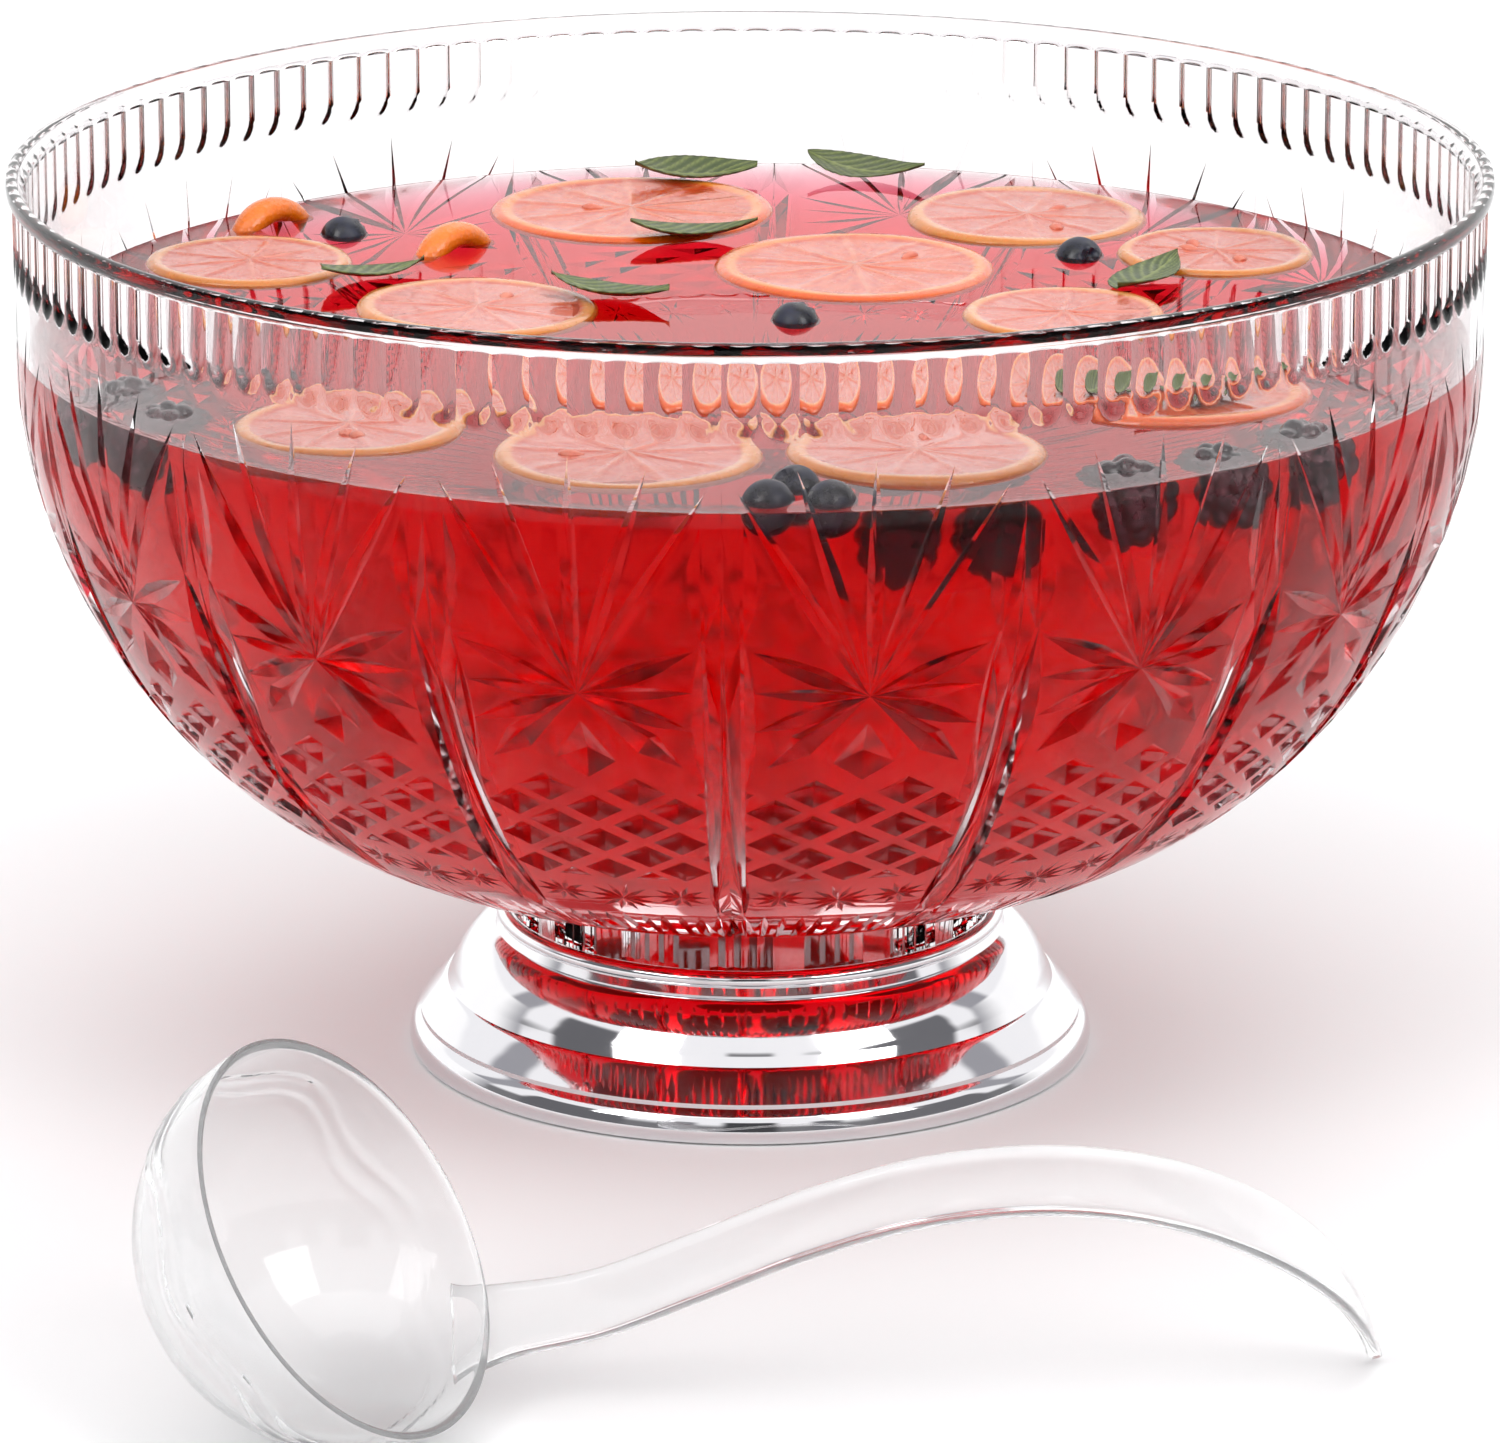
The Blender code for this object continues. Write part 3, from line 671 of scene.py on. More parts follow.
def bowl_mesh():
    verts, faces = [], []

    def add(part_verts, part_faces):
        first = len(verts)
        verts.extend(part_verts)
        faces.extend(tuple(first + n for n in face) for face in part_faces)

    half_points, half_faces = half_panel_mesh()
    placed = [(a, *on_wall(s, depth)) for a, s, depth in half_points]
    for panel in range(PANELS):
        for side in (-1, 1):
            middle = FIRST_PANEL + 2 * HALF_PANEL * panel
            add([around(r, z, math.radians(middle + side * a)) for a, r, z in placed],
                half_faces if side > 0 else [tuple(reversed(f)) for f in half_faces])

    columns = FLUTES * FLUTE_COLUMNS
    turn = math.radians(FIRST_PANEL)
    inside = LIP_RADIUS - WALL
    lip = [(inside + 0.1 * MM, HEIGHT - 1.2 * MM), (inside + 0.5 * MM, HEIGHT - 0.3 * MM),
           (inside + 1.2 * MM, HEIGHT), (LIP_RADIUS - 0.9 * MM, HEIGHT),
           (LIP_RADIUS - 0.25 * MM, HEIGHT - 0.3 * MM), (LIP_RADIUS, HEIGHT - 1.0 * MM),
           (LIP_RADIUS, HEIGHT - 2.8 * MM), (LIP_RADIUS - 0.4 * MM, HEIGHT - 3.5 * MM)]
    rings = [lambda angle, r=r, z=z: around(r, z, angle + turn) for r, z in lip]
    rows = [FLUTE_TOP, 4.9, 6.5, 9.0, 12.0, 14.5, 16.0, 17.2, 18.2, 19.2, 20.2, 21.2, 22.0, FLUTE_END]
    for row in rows:
        def ring(angle, row=row):
            place = angle / (2 * math.pi) * FLUTES
            across = 2 * (place - math.floor(place + 1e-6)) - 1
            depth = flute_depth(across, row) if FLUTE_TOP < row < FLUTE_END else 0.0
            r, z = on_wall(row, depth)
            return around(r, z, angle + turn)
        rings.append(ring)
    add(*ring_grid(rings, columns))

    # The inner wall is plain, and its columns are wider, so a fan of triangles joins it to the lip.
    wide = FLUTES
    inner_drop = OUTER_DROP - WALL
    inner = []
    for n in range(INNER_RINGS):
        turn_down = math.sin(0.5 * math.pi * n / INNER_RINGS)
        depth = INNER_TOP + (EQUATOR_DEPTH + inner_drop - INNER_TOP) * turn_down
        inner.append((wall_curve(WALL_RADIUS - WALL, inner_drop, depth), HEIGHT - depth))
    rings = [lambda angle, r=r, z=z: around(r, z, angle + turn) for r, z in inner]
    add(*ring_grid(rings, wide, closed_end=True))
    join, triangles = [], []
    for c in range(wide):
        fine = [around(*lip[0], 2 * math.pi * (c * FLUTE_COLUMNS + k) / columns + turn)
                for k in range(FLUTE_COLUMNS + 1)]
        coarse = [around(*inner[0], 2 * math.pi * (c + k) / wide + turn) for k in range(2)]
        first = len(join)
        join += fine + coarse
        left, right, middle = first + len(fine), first + len(fine) + 1, FLUTE_COLUMNS // 2
        for k in range(FLUTE_COLUMNS):
            triangles.append((first + k, first + k + 1, left if k < middle else right))
        triangles.append((left, first + middle, right))
    add(join, triangles)

    # The foot ring is scalloped, with narrow ribs near each divider.
    def scallop(angle, amount):
        share = math.degrees(angle) % (2 * HALF_PANEL)
        off = abs(share - HALF_PANEL)  # degrees from the divider
        if off >= 2 * SCALLOP_PITCH:
            return 0.0
        return amount * (0.5 - 0.5 * math.cos(2 * math.pi * off / SCALLOP_PITCH))
    foot = [(FOOT_RADIUS + 0.2 * MM, FOOT_TOP - 1.0 * MM, 0.4), (FOOT_RADIUS, FOOT_TOP - 2.5 * MM, 1.0),
            (FOOT_RADIUS, FOOT_BOTTOM + 3.0 * MM, 1.0), (FOOT_RADIUS, FOOT_BOTTOM + 0.6 * MM, 0.5),
            (FOOT_RADIUS - 0.7 * MM, FOOT_BOTTOM, 0.0), (FOOT_RADIUS - FOOT_WALL, FOOT_BOTTOM, 0.0),
            (FOOT_RADIUS - FOOT_WALL, FOOT_TOP - 2.8 * MM, 0.0)]
    rings = [lambda angle: around(*on_wall(WALL_END), angle + turn)]
    rings += [lambda angle, r=r, z=z, k=k: around(r - scallop(angle, SCALLOP_DEPTH * k), z, angle + turn)
              for r, z, k in foot]
    add(*ring_grid(rings, PANELS * 12, closed_end=True))
    return verts, faces


def make_bowl():
    verts, faces = bowl_mesh()
    # The cuts keep their edges; in the rim's flutes only the ridges between them stay sharp.
    flutes_end = HEIGHT - FLUTE_END * MM
    bowl = mesh_object("clear_bowl", verts, faces, merge=0.01 * MM,
                       angle_at=lambda spot: FLUTE_SHARP if spot.z > flutes_end else PATTERN_SHARP)
    finish_piece(bowl, "bowl", "bowl_shell", "bowl_plastic",
                 clear_plastic("clear_bowl_plastic", BOWL_TINT, 0.004, 0.03, 0.06, gloss=0.08))
    # Where the punch wets the inner wall, hardly any light is reflected. Above it the wall has a darker,
    # rosier tint: painted shade, so that the band of wall above the drink looks grey.
    bowl.data.materials.append(clear_plastic("clear_bowl_wetted", BOWL_TINT, 0.004, 0.02, 0.0, gloss=0.05))
    bowl.data.materials.append(clear_plastic("clear_bowl_rim_painted_shade", RIM_PAINTED_SHADE_TINT, 0.004, 0.03, 0.06, gloss=0.3))
    for face in bowl.data.polygons:
        centre, normal = face.center, face.normal
        outward = normal.x * centre.x + normal.y * centre.y - 0.1 * normal.z * math.hypot(centre.x, centre.y)
        # Faces above the punch get the rim material, whose darker tint is painted shade.
        if centre.z > PUNCH_LEVEL:
            face.material_index = 2
        elif centre.z > FOOT_TOP and outward < 0:
            face.material_index = 1


# ================================================================ the punch
PUNCH_RINGS = 39


def make_punch():
    """The liquid meets the wall in a small meniscus and reaches just into the plastic."""
    radius, drop = WALL_RADIUS - WALL + DRINK_OVERLAP, OUTER_DROP - WALL + DRINK_OVERLAP
    surface = [(0.0, PUNCH_LEVEL)]
    surface += [(radius * share, PUNCH_LEVEL) for share in (0.25, 0.5, 0.75, 0.9, 0.96)]
    surface += [(radius - reach, PUNCH_LEVEL + MENISCUS_HEIGHT * math.exp(-reach / MENISCUS_REACH))
                for reach in (4.5 * MM, 3.0 * MM, 2.0 * MM, 1.2 * MM, 0.6 * MM, 0.0)]
    start = HEIGHT - surface[-1][1]
    side = []
    for n in range(1, PUNCH_RINGS + 1):
        depth = start + (EQUATOR_DEPTH + drop - start) * math.sin(0.5 * math.pi * n / PUNCH_RINGS)
        side.append((wall_curve(radius, drop, depth), HEIGHT - depth))
    side[-1] = (0.0, side[-1][1])
    punch = lathe("red_punch", surface + side, 192, 50.0)
    finish_piece(punch, "bowl", "punch", "punch", punch_material())


# ================================================================ the fruit
def box_centre(name):
    low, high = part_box(name)
    return Vector(low).lerp(Vector(high), 0.5), Vector(high) - Vector(low)


def citrus_slice(name, radius, thickness, segments, rng):
    """A slice: sunk segments between raised membranes, a raised rim of pith and a rounded peel."""
    columns = 120
    reaches = [0.05, 0.11, 0.2, 0.3, 0.4, 0.5, 0.6, 0.7, 0.78, 0.84, 0.88, 0.92, 0.96, 0.985]
    phase = [rng.uniform(0, 2 * math.pi) for _ in range(4)]

    def outline(angle):
        return radius * (1 + 0.012 * math.sin(2 * angle + phase[0]) + 0.010 * math.sin(3 * angle + phase[1])
                         - 0.02)

    def relief(share, angle):
        off = abs((angle * segments / (2 * math.pi) + 0.5) % 1 - 0.5) * 2 * math.pi / segments * share
        wall = math.exp(-(off / 0.03) ** 2)
        in_flesh = 1 if 0.1 < share < 0.86 else 0
        swell = 0.35 * math.sin(5 * angle + 9 * share + phase[2]) * math.sin(13 * share + phase[3])
        return MM * (in_flesh * (-0.45 + 0.3 * wall) + swell * 0.35)

    rings = []
    for face in (1, -1):
        for share in reaches[::face]:
            edge = max(0.0, (share - 0.95) / 0.035)

            def ring(angle, share=share, face=face, edge=edge):
                reach = outline(angle) * share
                top = thickness * 0.5 * (1 - 0.22 * edge ** 2) + relief(share, angle)
                return (reach * math.cos(angle), reach * math.sin(angle), face * top)
            rings.append(ring)
        if face > 0:
            for lift in (0.45, 0.0, -0.45):
                rings.append(lambda angle, lift=lift: (
                    outline(angle) * (1 + 0.01 * (1 - (lift / 0.45) ** 2)) * math.cos(angle),
                    outline(angle) * (1 + 0.01 * (1 - (lift / 0.45) ** 2)) * math.sin(angle),
                    lift * thickness * 0.7))
    verts, faces = ring_grid(rings, columns)
    for first, height, flip in ((0, 0.5, False), ((len(rings) - 1) * columns, -0.5, True)):
        centre = len(verts)
        verts.append((0, 0, height * thickness))
        for c in range(columns):
            pair = (first + c, first + (c + 1) % columns)
            faces.append((centre, pair[1], pair[0]) if flip else (centre, pair[0], pair[1]))
    return mesh_object(name, verts, faces, 50.0)


def add_seeds(name, parent_slice, radius, thickness, count, rng, mat):
    """Seeds half sunk in a slice's face, as one piece that rides with it."""
    verts, faces = [], []
    for _ in range(count):
        reach, angle = radius * rng.uniform(0.25, 0.5), rng.uniform(0, 2 * math.pi)
        centre = Vector((reach * math.cos(angle), reach * math.sin(angle), thickness * 0.5 - 0.6 * MM))
        turn = Matrix.Rotation(angle + rng.uniform(-0.4, 0.4), 3, "Z")
        rings = []
        for n in range(1, 8):
            share = n / 8
            thick = 1.9 * MM * math.sin(math.pi * share ** 1.35)

            def ring(a, share=share, thick=thick):
                spot = Vector(((share - 0.5) * 8 * MM, thick * math.cos(a), 0.6 * thick * math.sin(a)))
                return tuple(centre + turn @ spot)
            rings.append(ring)
        seed_verts, seed_faces = ring_grid(rings, 12, True, True)
        faces += [tuple(len(verts) + n for n in face) for face in seed_faces]
        verts += seed_verts
    seeds = mesh_object(name, verts, faces, 60.0)
    seeds.location = parent_slice.location
    seeds.rotation_euler = parent_slice.rotation_euler
    seeds.data.materials.append(mat)
    return seeds


SLICE_TILT = 1.2  # degrees a slice may float out of level


def make_slices():
    rng = random.Random(7)
    seed_mat = seed_material()
    kinds = (
        ("orange_slice", "orange_flesh", 10,
         (rgb(196, 62, 26), rgb(212, 92, 46), rgb(220, 128, 84), rgb(228, 132, 48), rgb(236, 100, 2))),
        ("lemon_slice", "lemon_flesh", 9,
         (rgb(194, 74, 50), rgb(206, 98, 70), rgb(218, 128, 98), rgb(220, 148, 92), rgb(222, 136, 50))),
    )
    for kind, slot, segments, colours in kinds:
        for name in nodes_named(kind):
            centre, size = box_centre(name)
            radius, thickness = size.x / 2, size.z
            piece = citrus_slice(name + "_cut", radius, thickness, segments, rng)
            piece.location = centre + Vector((0, 0, -0.2 * MM))
            tilt = [math.radians(rng.uniform(-SLICE_TILT, SLICE_TILT)) for _ in range(2)]
            piece.rotation_euler = (*tilt, rng.uniform(0, 2 * math.pi))
            mat = citrus_material(name + "_face", radius, segments, *colours)
            finish_piece(piece, "bowl", name, slot, mat)
            if rng.random() < 0.8:
                seeds = add_seeds(name + "_seeds", piece, radius, thickness, rng.randint(1, 3), rng, seed_mat)
                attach(seeds, "bowl")


WEDGE_TURNS = {"orange_wedge_1": 48, "orange_wedge_2": 50}
WEDGE_LENGTH, WEDGE_THICKNESS, WEDGE_HEIGHT = 30 * MM, 9 * MM, 14 * MM


def make_wedges():
    mat = peel_material()
    for name, turn in WEDGE_TURNS.items():
        centre, _ = box_centre(name)
        rings = []
        for n in range(25):
            share = n / 24
            angle = math.pi * share
            spine = Vector((-math.cos(angle) * WEDGE_LENGTH / 2, 0, math.sin(angle) * WEDGE_HEIGHT))
            pull = 0.12 + 0.88 * math.sin(angle) ** 0.5

            def ring(a, spine=spine, pull=pull):
                half = WEDGE_THICKNESS * 0.5 * pull
                depth = 0.5 + 0.5 * math.sin(a)
                inner = spine * (0.55 + 0.45 * depth)
                return (inner.x, half * math.cos(a), inner.z)
            rings.append(ring)
        verts, faces = ring_grid(rings, 20, True, True)
        wedge = mesh_object(name + "_peel", verts, faces, 50.0)
        wedge.location = centre - Vector((0, 0, WEDGE_HEIGHT / 2))
        wedge.rotation_euler.z = math.radians(turn)
        finish_piece(wedge, "bowl", name, "orange_peel", mat)


def make_blueberries():
    """Round berries with a five-pointed crown round a small crater."""
    mat = blueberry_material()
    rng = random.Random(3)
    for name in nodes_named("blueberry"):
        centre, size = box_centre(name)
        radius = size.z / 2
        rings = []
        for n in range(1, 24):
            polar = math.pi * n / 24

            def ring(a, polar=polar):
                reach = radius
                crown = math.exp(-((polar - 0.42) / 0.09) ** 2) * (0.55 + 0.45 * math.cos(5 * a))
                crater = math.exp(-(polar / 0.33) ** 4)
                reach *= 1 + 0.10 * crown - 0.22 * crater
                return (reach * math.sin(polar) * math.cos(a), reach * math.sin(polar) * math.sin(a),
                        0.94 * reach * math.cos(polar))
            rings.append(ring)
        verts, faces = ring_grid(rings, 40, True, True)
        berry = mesh_object(name + "_skin", verts, faces, 55.0)
        berry.location = centre
        berry.rotation_euler = (rng.uniform(0.6, 1.5), rng.uniform(-0.8, 0.8), rng.uniform(0, 6.3))
        finish_piece(berry, "bowl", name, "blueberry_skin", mat)


def bramble_mesh(name, radius, rng):
    """A berry built of round drupelets, merged into one skin."""
    bm = bmesh.new()
    rows = [(0.0, 1), (0.62, 6), (1.16, 10), (1.70, 11), (2.24, 8), (2.75, 4)]
    for polar, count in rows:
        for k in range(count):
            angle = 2 * math.pi * (k + 0.5 * (polar > 1)) / count + polar
            spot = Vector((math.sin(polar) * math.cos(angle), math.sin(polar) * math.sin(angle),
                           1.12 * math.cos(polar))) * radius * 0.70
            size = radius * rng.uniform(0.27, 0.32)
            bmesh.ops.create_icosphere(bm, subdivisions=2, radius=size, matrix=Matrix.Translation(spot))
    bmesh.ops.create_icosphere(bm, subdivisions=2, radius=radius * 0.66)
    mesh = bpy.data.meshes.new(name)
    bm.to_mesh(mesh)
    bm.free()
    berry = in_scene(name, mesh)
    remesh = berry.modifiers.new("skin", "REMESH")
    remesh.mode = "VOXEL"
    remesh.voxel_size = 0.55 * MM
    depsgraph = bpy.context.evaluated_depsgraph_get()
    skin = bpy.data.meshes.new_from_object(berry.evaluated_get(depsgraph))
    berry.modifiers.clear()
    berry.data = skin
    bpy.data.meshes.remove(mesh)
    skin.shade_smooth()
    return berry


def make_brambles():
    mat = bramble_material()
    rng = random.Random(11)
    for name in nodes_named("bramble_berry"):
        centre, size = box_centre(name)
        berry = bramble_mesh(name + "_skin", size.z / 2, rng)
        berry.location = centre
        berry.rotation_euler = (rng.uniform(0.9, 1.9), rng.uniform(-0.5, 0.5), rng.uniform(0, 6.3))
        finish_piece(berry, "bowl", name, "bramble_skin", mat)


LEAF_TURNS = (10, -20, 5, 40, -25, 60, 20)
LEAF_LENGTH, LEAF_WIDTH = 32 * MM, 16 * MM


def make_leaves():
    """Toothed leaves with raised veins, folded a little along the midrib and curling at the tip."""
    mat = leaf_material()
    rng = random.Random(5)
    for number, turn in enumerate(LEAF_TURNS, 1):
        name = f"mint_leaf_{number}"
        centre, _ = box_centre(name)
        along, across = 48, 16
        curl, fold = rng.uniform(1.5, 4.0) * MM, rng.uniform(1.0, 2.6) * MM
        twist = rng.uniform(-0.5, 0.5)
        verts, veins = [], []
        for side in (0.18 * MM, -0.18 * MM):
            for i in range(along + 1):
                t = i / along
                half = 0.5 * LEAF_WIDTH * math.sin(math.pi * t ** 0.85) ** 0.9 * (1.05 - 0.25 * t)
                tooth = 1 + 0.07 * ((t * 13) % 1)
                for j in range(across + 1):
                    u = 2 * j / across - 1
                    vein = max(math.exp(-(u / 0.07) ** 2),
                               0.8 * math.exp(-((((t - 0.30 * abs(u)) * 8) % 1 - 0.5) / 0.16) ** 2))
                    lift = curl * (2 * t - 1) ** 2 + fold * abs(u) ** 1.4 * math.sin(math.pi * t)
                    lift += twist * u * (t - 0.5) * 4 * MM - 0.45 * MM * (1 - vein) * (1 - abs(u) ** 3)
                    x = (t - 0.5) * LEAF_LENGTH
                    verts.append((x, u * half * tooth, lift + side - 0.5 * MM))
                    veins.append(vein)
        row = across + 1
        sheet = (along + 1) * row
        faces = []
        for i in range(along):
            for j in range(across):
                a = i * row + j
                faces.append((a, a + 1, a + row + 1, a + row))
                faces.append(tuple(sheet + n for n in (a + row, a + row + 1, a + 1, a)))
        rim = [j for j in range(across)] + [i * row + across for i in range(along)]
        rim += [along * row + across - j for j in range(across)] + [(along - i) * row for i in range(along)]
        for first, second in zip(rim, rim[1:] + rim[:1]):
            faces.append((first, sheet + first, sheet + second, second))
        mesh = bpy.data.meshes.new(name + "_blade")
        mesh.from_pydata(verts, [], faces)
        mesh.attributes.new("vein", "FLOAT", "POINT").data.foreach_set("value", veins)
        mesh.shade_smooth()
        leaf = in_scene(name + "_blade", mesh)
        leaf.location = centre
        leaf.rotation_euler = (rng.uniform(-0.15, 0.15), rng.uniform(-0.1, 0.1), math.radians(turn))
        finish_piece(leaf, "bowl", name, "mint_leaf", mat)


# ================================================================ the pedestal
FLANK = [
    (62.5, 30.6), (65.6, 29.2), (68.3, 26.9), (70.7, 23.9), (72.3, 21), (73.2, 18.9), (74.3, 18.0),
    (74.3, 16.7), (75.4, 15.9), (78.6, 12.4), (81.0, 9.6), (81.0, 8.5), (82.6, 6.8), (83.4, 5),
    (83.8, 2.6), (83.3, 0.6),
]
FLANK_INSIDE = [(81.6, 0.6), (81.6, 5), (79, 8), (72.6, 15), (70.6, 21), (66, 26.6), (58, 28.6)]
DECK_HEIGHT = 33 * MM
BEAD_CENTRE, BEAD_HEIGHT, BEAD_RADIUS = 60.1 * MM, 34 * MM, 2.2 * MM


def make_pedestal():
    outline = [(0.0, DECK_HEIGHT), (FOOT_RADIUS + 0.3 * MM, DECK_HEIGHT)]
    for i in range(19):
        angle = math.radians(150 - 200 * i / 18)
        outline.append((BEAD_CENTRE + BEAD_RADIUS * math.cos(angle),
                        BEAD_HEIGHT + BEAD_RADIUS * math.sin(angle)))
    # The flank is smooth between its fillets and the two small steps.
    for first, last in ((0, 5), (7, 10), (11, 15)):
        section = [(r * MM, z * MM) for r, z in FLANK[first:last + 1]]
        outline += [tuple(p) for p in smooth_profile(section, 6)]
    inside = [(r * MM, z * MM) for r, z in FLANK_INSIDE]
    inside += [(FOOT_RADIUS - FOOT_WALL, DECK_HEIGHT - 1.4 * MM), (0.0, DECK_HEIGHT - 1.4 * MM)]
    shell = lathe("plated_pedestal", outline + inside, 192, 32.0)
    finish_piece(shell, "pedestal", "pedestal_shell", "plating", chrome_material())


def make_base():
    for node_name, piece, slot, mat, soften in (
            ("base_plate", "closing_plate_disc", "closing_plate", plate_material(), 0.3 * MM),
            ("felt_pad", "felt_disc", "felt", felt_material(), 0.5 * MM)):
        low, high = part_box(node_name)
        radius, bottom, top = high[0], low[2], high[2]
        profile = [(0.0, top), (radius * 0.5, top), (radius - soften, top), (radius, top - soften)]
        profile += [(radius, bottom + soften), (radius - soften, bottom), (radius * 0.5, bottom),
                    (0.0, bottom)]
        finish_piece(lathe(piece, profile, 160, 60.0), "pedestal", node_name, slot, mat)


# ================================================================ the ladle
CUP_RADIUS, CUP_DEPTH, CUP_WALL = 47 * MM, 45.5 * MM, 2.2 * MM
HANDLE_WIDTH, HANDLE_ROOT_WIDTH, HANDLE_TIP_WIDTH, HANDLE_THICKNESS = 18 * MM, 27 * MM, 5 * MM, 3.4 * MM
HANDLE_LINE = [
    (46, -9), (49.5, 3), (58, 22), (62, 46), (66, 75), (74, 101),
    (89, 123), (110, 138), (134, 145), (158, 145.5), (178, 140), (196, 131),
]
CUP_CENTRE = (-87.5 * MM, -276 * MM)
OPENING_DIRECTION = Vector((0.762, -0.363, 0.537))
HANDLE_SIDE = Vector((0.646, 0.487, -0.587))


WAVY_LINES = ((12.5, 2.2, 0.0), (17.5, 2.4, 0.5))  # mm below the rim, swing in mm, phase
RIDGE_HALF_WIDTH, RIDGE_HEIGHT = 0.75, 0.55 * MM


def wavy_ridge(angle, drop):
    """Height of the two embossed wavy lines that run round the cup, drop mm below its rim."""
    height = 0.0
    for middle, swing, phase in WAVY_LINES:
        line = middle + swing * math.sin(7 * angle + phase) + 0.8 * math.sin(3 * angle + phase)
        height += math.exp(-((drop - line) / RIDGE_HALF_WIDTH) ** 2)
    return RIDGE_HEIGHT * height


def cup_object():
    columns = 168
    rings = []
    inner_radius, inner_depth = CUP_RADIUS - CUP_WALL, CUP_DEPTH - CUP_WALL
    stations = [0.5 * math.pi * n / 60 for n in range(1, 61)]

    def shell_ring(turn, radius, depth, ridge):
        def ring(angle):
            reach, drop = radius * math.sin(turn), depth * math.cos(turn)
            lift = wavy_ridge(angle, drop / MM) if ridge else 0.0
            grow = lift / radius
            return (reach * (1 + grow) * math.cos(angle), reach * (1 + grow) * math.sin(angle), -drop)
        return ring

    rings += [shell_ring(turn, inner_radius, inner_depth, False) for turn in stations]
    for reach, height in ((0.2, 0.35), (0.7, 0.75), (1.3, 0.75), (1.9, 0.4)):
        rings.append(lambda angle, reach=reach, height=height: (
            (inner_radius + reach * MM) * math.cos(angle), (inner_radius + reach * MM) * math.sin(angle),
            height * MM))
    # The wavy ridges stand on the outside, so it is that much smaller between them.
    outer_radius, outer_depth = CUP_RADIUS - 0.5 * MM, CUP_DEPTH - 0.5 * MM
    rings += [shell_ring(turn, outer_radius, outer_depth, True) for turn in reversed(stations)]
    verts, faces = ring_grid(rings, columns, True, True)
    return mesh_object("ladle_cup", verts, faces, 40.0)


ROOT_SHARE, TIP_SHARE = 0.16, 0.28  # shares of the handle's length over which its ends change width


def handle_width(share):
    root = max(0.0, 1 - share / ROOT_SHARE) ** 2
    tip = max(0.0, (share - 1 + TIP_SHARE) / TIP_SHARE) ** 2
    return HANDLE_WIDTH + (HANDLE_ROOT_WIDTH - HANDLE_WIDTH) * root \
        - (HANDLE_WIDTH - HANDLE_TIP_WIDTH) * tip


def handle_object():
    """The strap: its outer face is hollowed between two rounded edges, and its tip is rounded."""
    steps = 9
    line = smooth_profile([Vector(p) * MM for p in HANDLE_LINE], steps)
    count = len(line) - 1
    verts, faces = [], []
    section = 28
    for i, here in enumerate(line):
        share = i / count
        ahead, behind = line[min(count, i + 1)], line[max(0, i - 1)]
        along = (ahead - behind).normalized()
        out = Vector((along.y, -along.x))
        half = handle_width(share) / 2
        end = min(1.0, (count - i + 0.35) / 7)
        half *= math.sqrt(max(0.05, 1 - (1 - end) ** 2))
        for k in range(section):
            angle = 2 * math.pi * k / section
            c, s = math.cos(angle), math.sin(angle)
            across = half * math.copysign(abs(c) ** 0.55, c)
            hollow = 0.42 * (1 - min(1.0, abs(across) / (0.78 * half)) ** 2) if s > 0 else -0.1
            up = HANDLE_THICKNESS / 2 * (math.copysign(abs(s) ** 0.75, s) - hollow)
            verts.append((here.x + out.x * up, across, here.y + out.y * up))
    for i in range(count):
        for k in range(section):
            m = (k + 1) % section
            faces.append((i * section + k, i * section + m, (i + 1) * section + m, (i + 1) * section + k))
    faces.append(tuple(range(section)))
    faces.append(tuple(reversed(range(count * section, (count + 1) * section))))
    return mesh_object("ladle_handle", verts, faces, 40.0)


def make_ladle():
    cup, handle = cup_object(), handle_object()
    join = cup.modifiers.new("handle", "BOOLEAN")
    join.operation = "UNION"
    join.object = handle
    depsgraph = bpy.context.evaluated_depsgraph_get()
    mesh = bpy.data.meshes.new_from_object(cup.evaluated_get(depsgraph))
    bpy.data.objects.remove(handle)
    bpy.data.objects.remove(cup)
    up = OPENING_DIRECTION.normalized()
    side = (HANDLE_SIDE - up * HANDLE_SIDE.dot(up)).normalized()
    turn = Matrix((side, up.cross(side), up)).transposed().to_4x4()
    mesh.transform(turn)
    low = min(v.co.z for v in mesh.vertices)
    mesh.transform(Matrix.Translation((*CUP_CENTRE, -low)))
    mesh.shade_smooth()
    mesh.set_sharp_from_angle(angle=math.radians(40))
    ladle = in_scene("clear_ladle", mesh)
    finish_piece(ladle, "ladle", "ladle", "ladle_plastic",
                 clear_plastic("clear_ladle_plastic", LADLE_TINT, 0.02, 0.08, 0.10, clearness=0.86))


# ================================================================ floor, light and camera
def make_floor():
    verts = [(-FLOOR_HALF, -FLOOR_HALF, 0), (FLOOR_HALF, -FLOOR_HALF, 0),
             (FLOOR_HALF, FLOOR_HALF, 0), (-FLOOR_HALF, FLOOR_HALF, 0)]
    floor = mesh_object("floor", verts, [(0, 1, 2, 3)])
    floor.data.materials.append(floor_material())


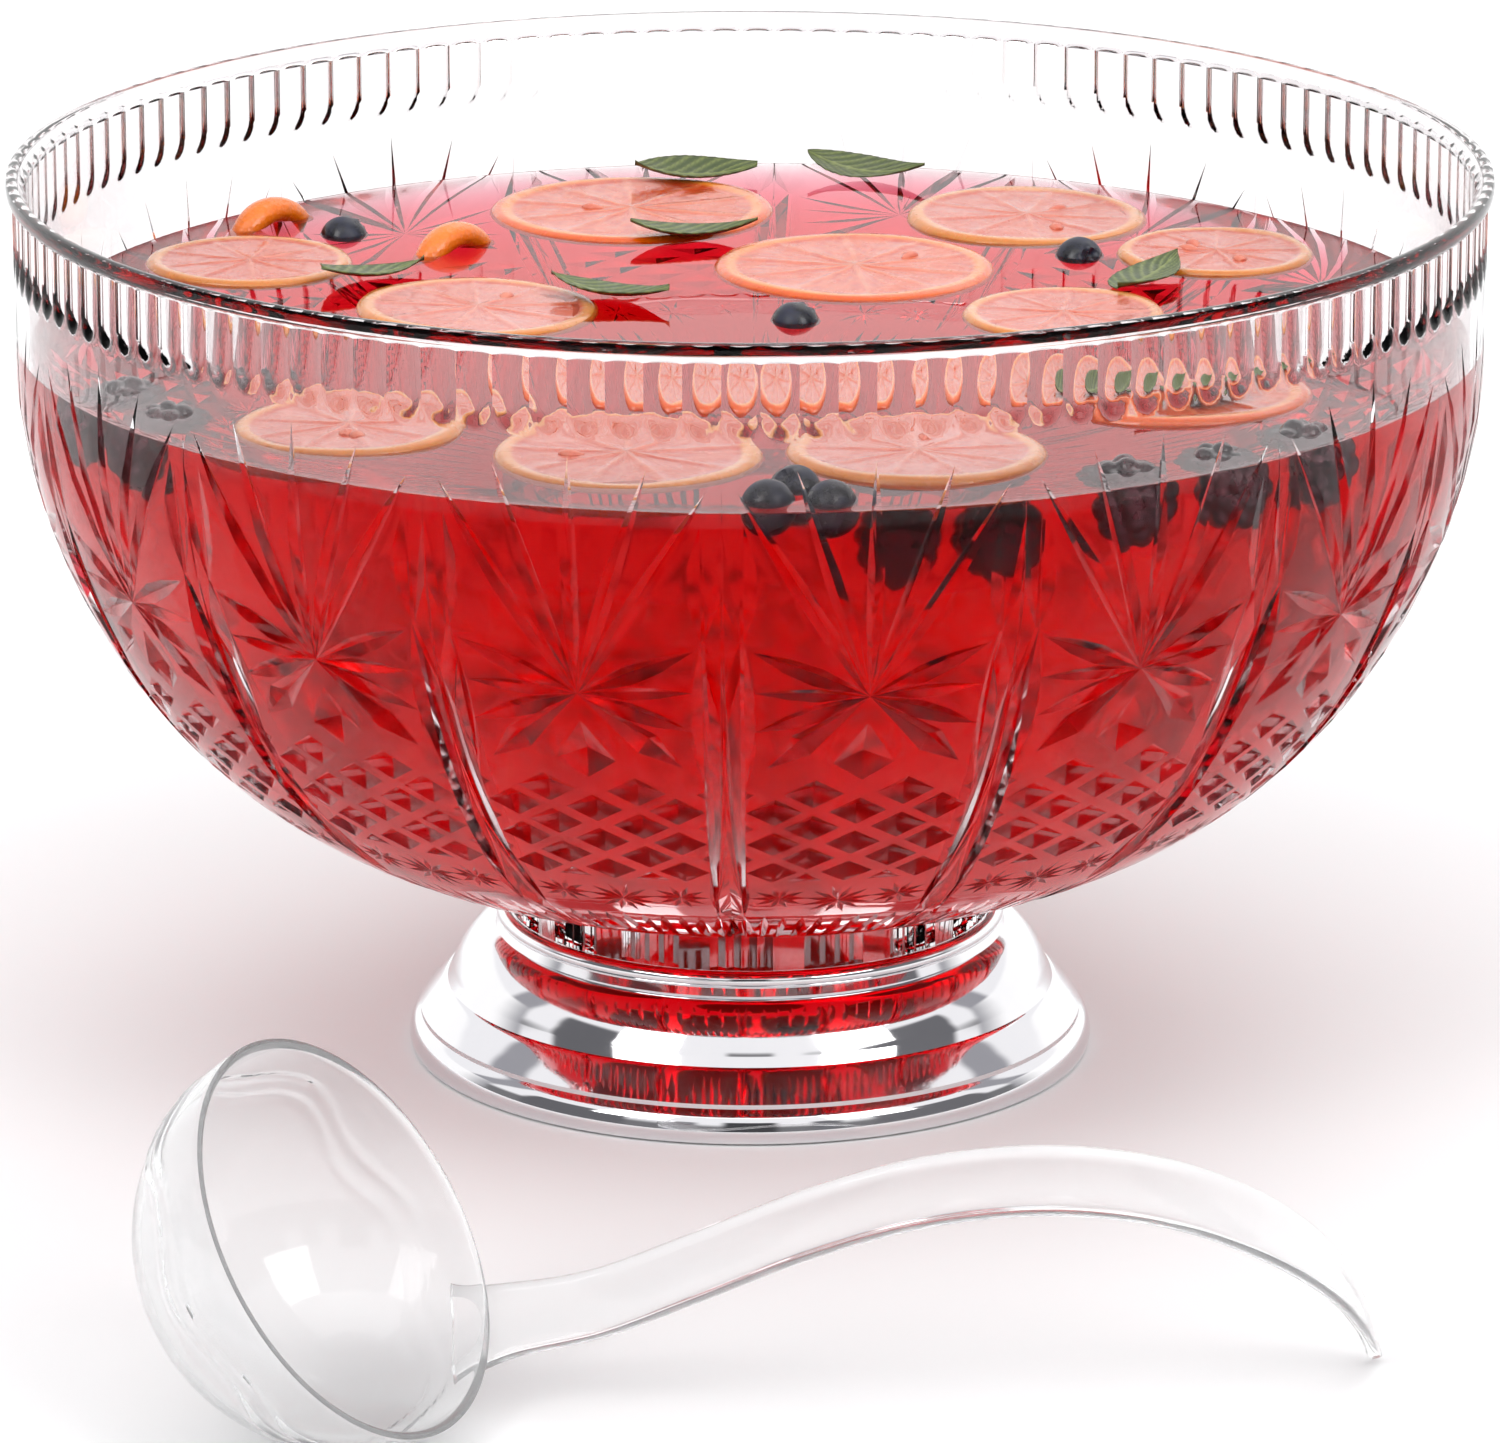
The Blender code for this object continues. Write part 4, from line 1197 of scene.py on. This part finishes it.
def make_world():
    """A pale studio with bright windows in front and darker bays between them."""
    world = bpy.data.worlds.new("studio")
    bpy.context.scene.world = world
    world.use_nodes = True
    tree = world.node_tree
    back = tree.nodes["Background"]
    parts = tree.nodes.new("ShaderNodeSeparateXYZ")
    tree.links.new(node(tree, "ShaderNodeTexCoord", out=0), parts.inputs[0])
    x, y, z = parts.outputs
    # Azimuth in degrees from the front (-Y) towards +X, and elevation in degrees.
    azimuth = calc(tree, "MULTIPLY", calc(tree, "ARCTAN2", x, calc(tree, "MULTIPLY", y, -1.0)), DEGREES)
    elevation = calc(tree, "MULTIPLY", calc(tree, "ARCSINE", z), DEGREES)

    def window(az, el, half_az, half_el, soft=2.0):
        wide = ramp(tree, calc(tree, "ABSOLUTE", calc(tree, "SUBTRACT", azimuth, az)),
                    half_az - soft, half_az + soft, 1.0, 0.0)
        tall = ramp(tree, calc(tree, "ABSOLUTE", calc(tree, "SUBTRACT", elevation, el)),
                    half_el - soft, half_el + soft, 1.0, 0.0)
        return calc(tree, "MULTIPLY", wide, tall)

    # The walls are dim near the horizon and bright overhead. Behind the bowl is one bright panel, which
    # the flat plastic shows, while the cuts turn the view towards what is dim beside and above it.
    colour = blend_color(tree, ramp(tree, elevation, *SKY_RAMP), HORIZON_TONE, SKY_TONE)
    for *place, tone in DIM_BAYS:
        colour = blend_color(tree, window(*place), colour, (tone, tone, tone * 1.08, 1))
    for *place, tone in BRIGHT_WINDOWS:
        colour = blend_color(tree, window(*place, 1.0), colour, (tone, tone, tone, 1))
    behind = ramp(tree, calc(tree, "ABSOLUTE", azimuth), *BACK_PANEL_START)
    panel = calc(tree, "MULTIPLY", behind, ramp(tree, elevation, *BACK_PANEL_TOP, 1.0, 0.0))
    colour = blend_color(tree, panel, colour, BACK_PANEL_TONE)
    tree.links.new(colour, back.inputs["Color"])
    back.inputs["Strength"].default_value = 1.0


def make_camera():
    camera = in_scene("camera", bpy.data.cameras.new("camera"))
    camera.data.lens = CAMERA_LENS
    camera.data.sensor_width = 36
    camera.location = (0, -CAMERA_DISTANCE, CAMERA_HEIGHT)
    camera.rotation_euler = (math.pi / 2 - CAMERA_PITCH, 0, 0)
    camera.data.clip_end = 50
    bpy.context.scene.camera = camera


def set_light_paths():
    scene = bpy.context.scene
    scene.view_settings.view_transform = "Standard"
    scene.cycles.max_bounces = 20
    scene.cycles.transmission_bounces = 18
    scene.cycles.transparent_max_bounces = 16
    scene.cycles.use_denoising = True


make_camera()
set_light_paths()
make_world()
make_floor()
make_base()
make_pedestal()
make_bowl()
make_punch()
make_slices()
make_wedges()
make_blueberries()
make_brambles()
make_leaves()
make_ladle()
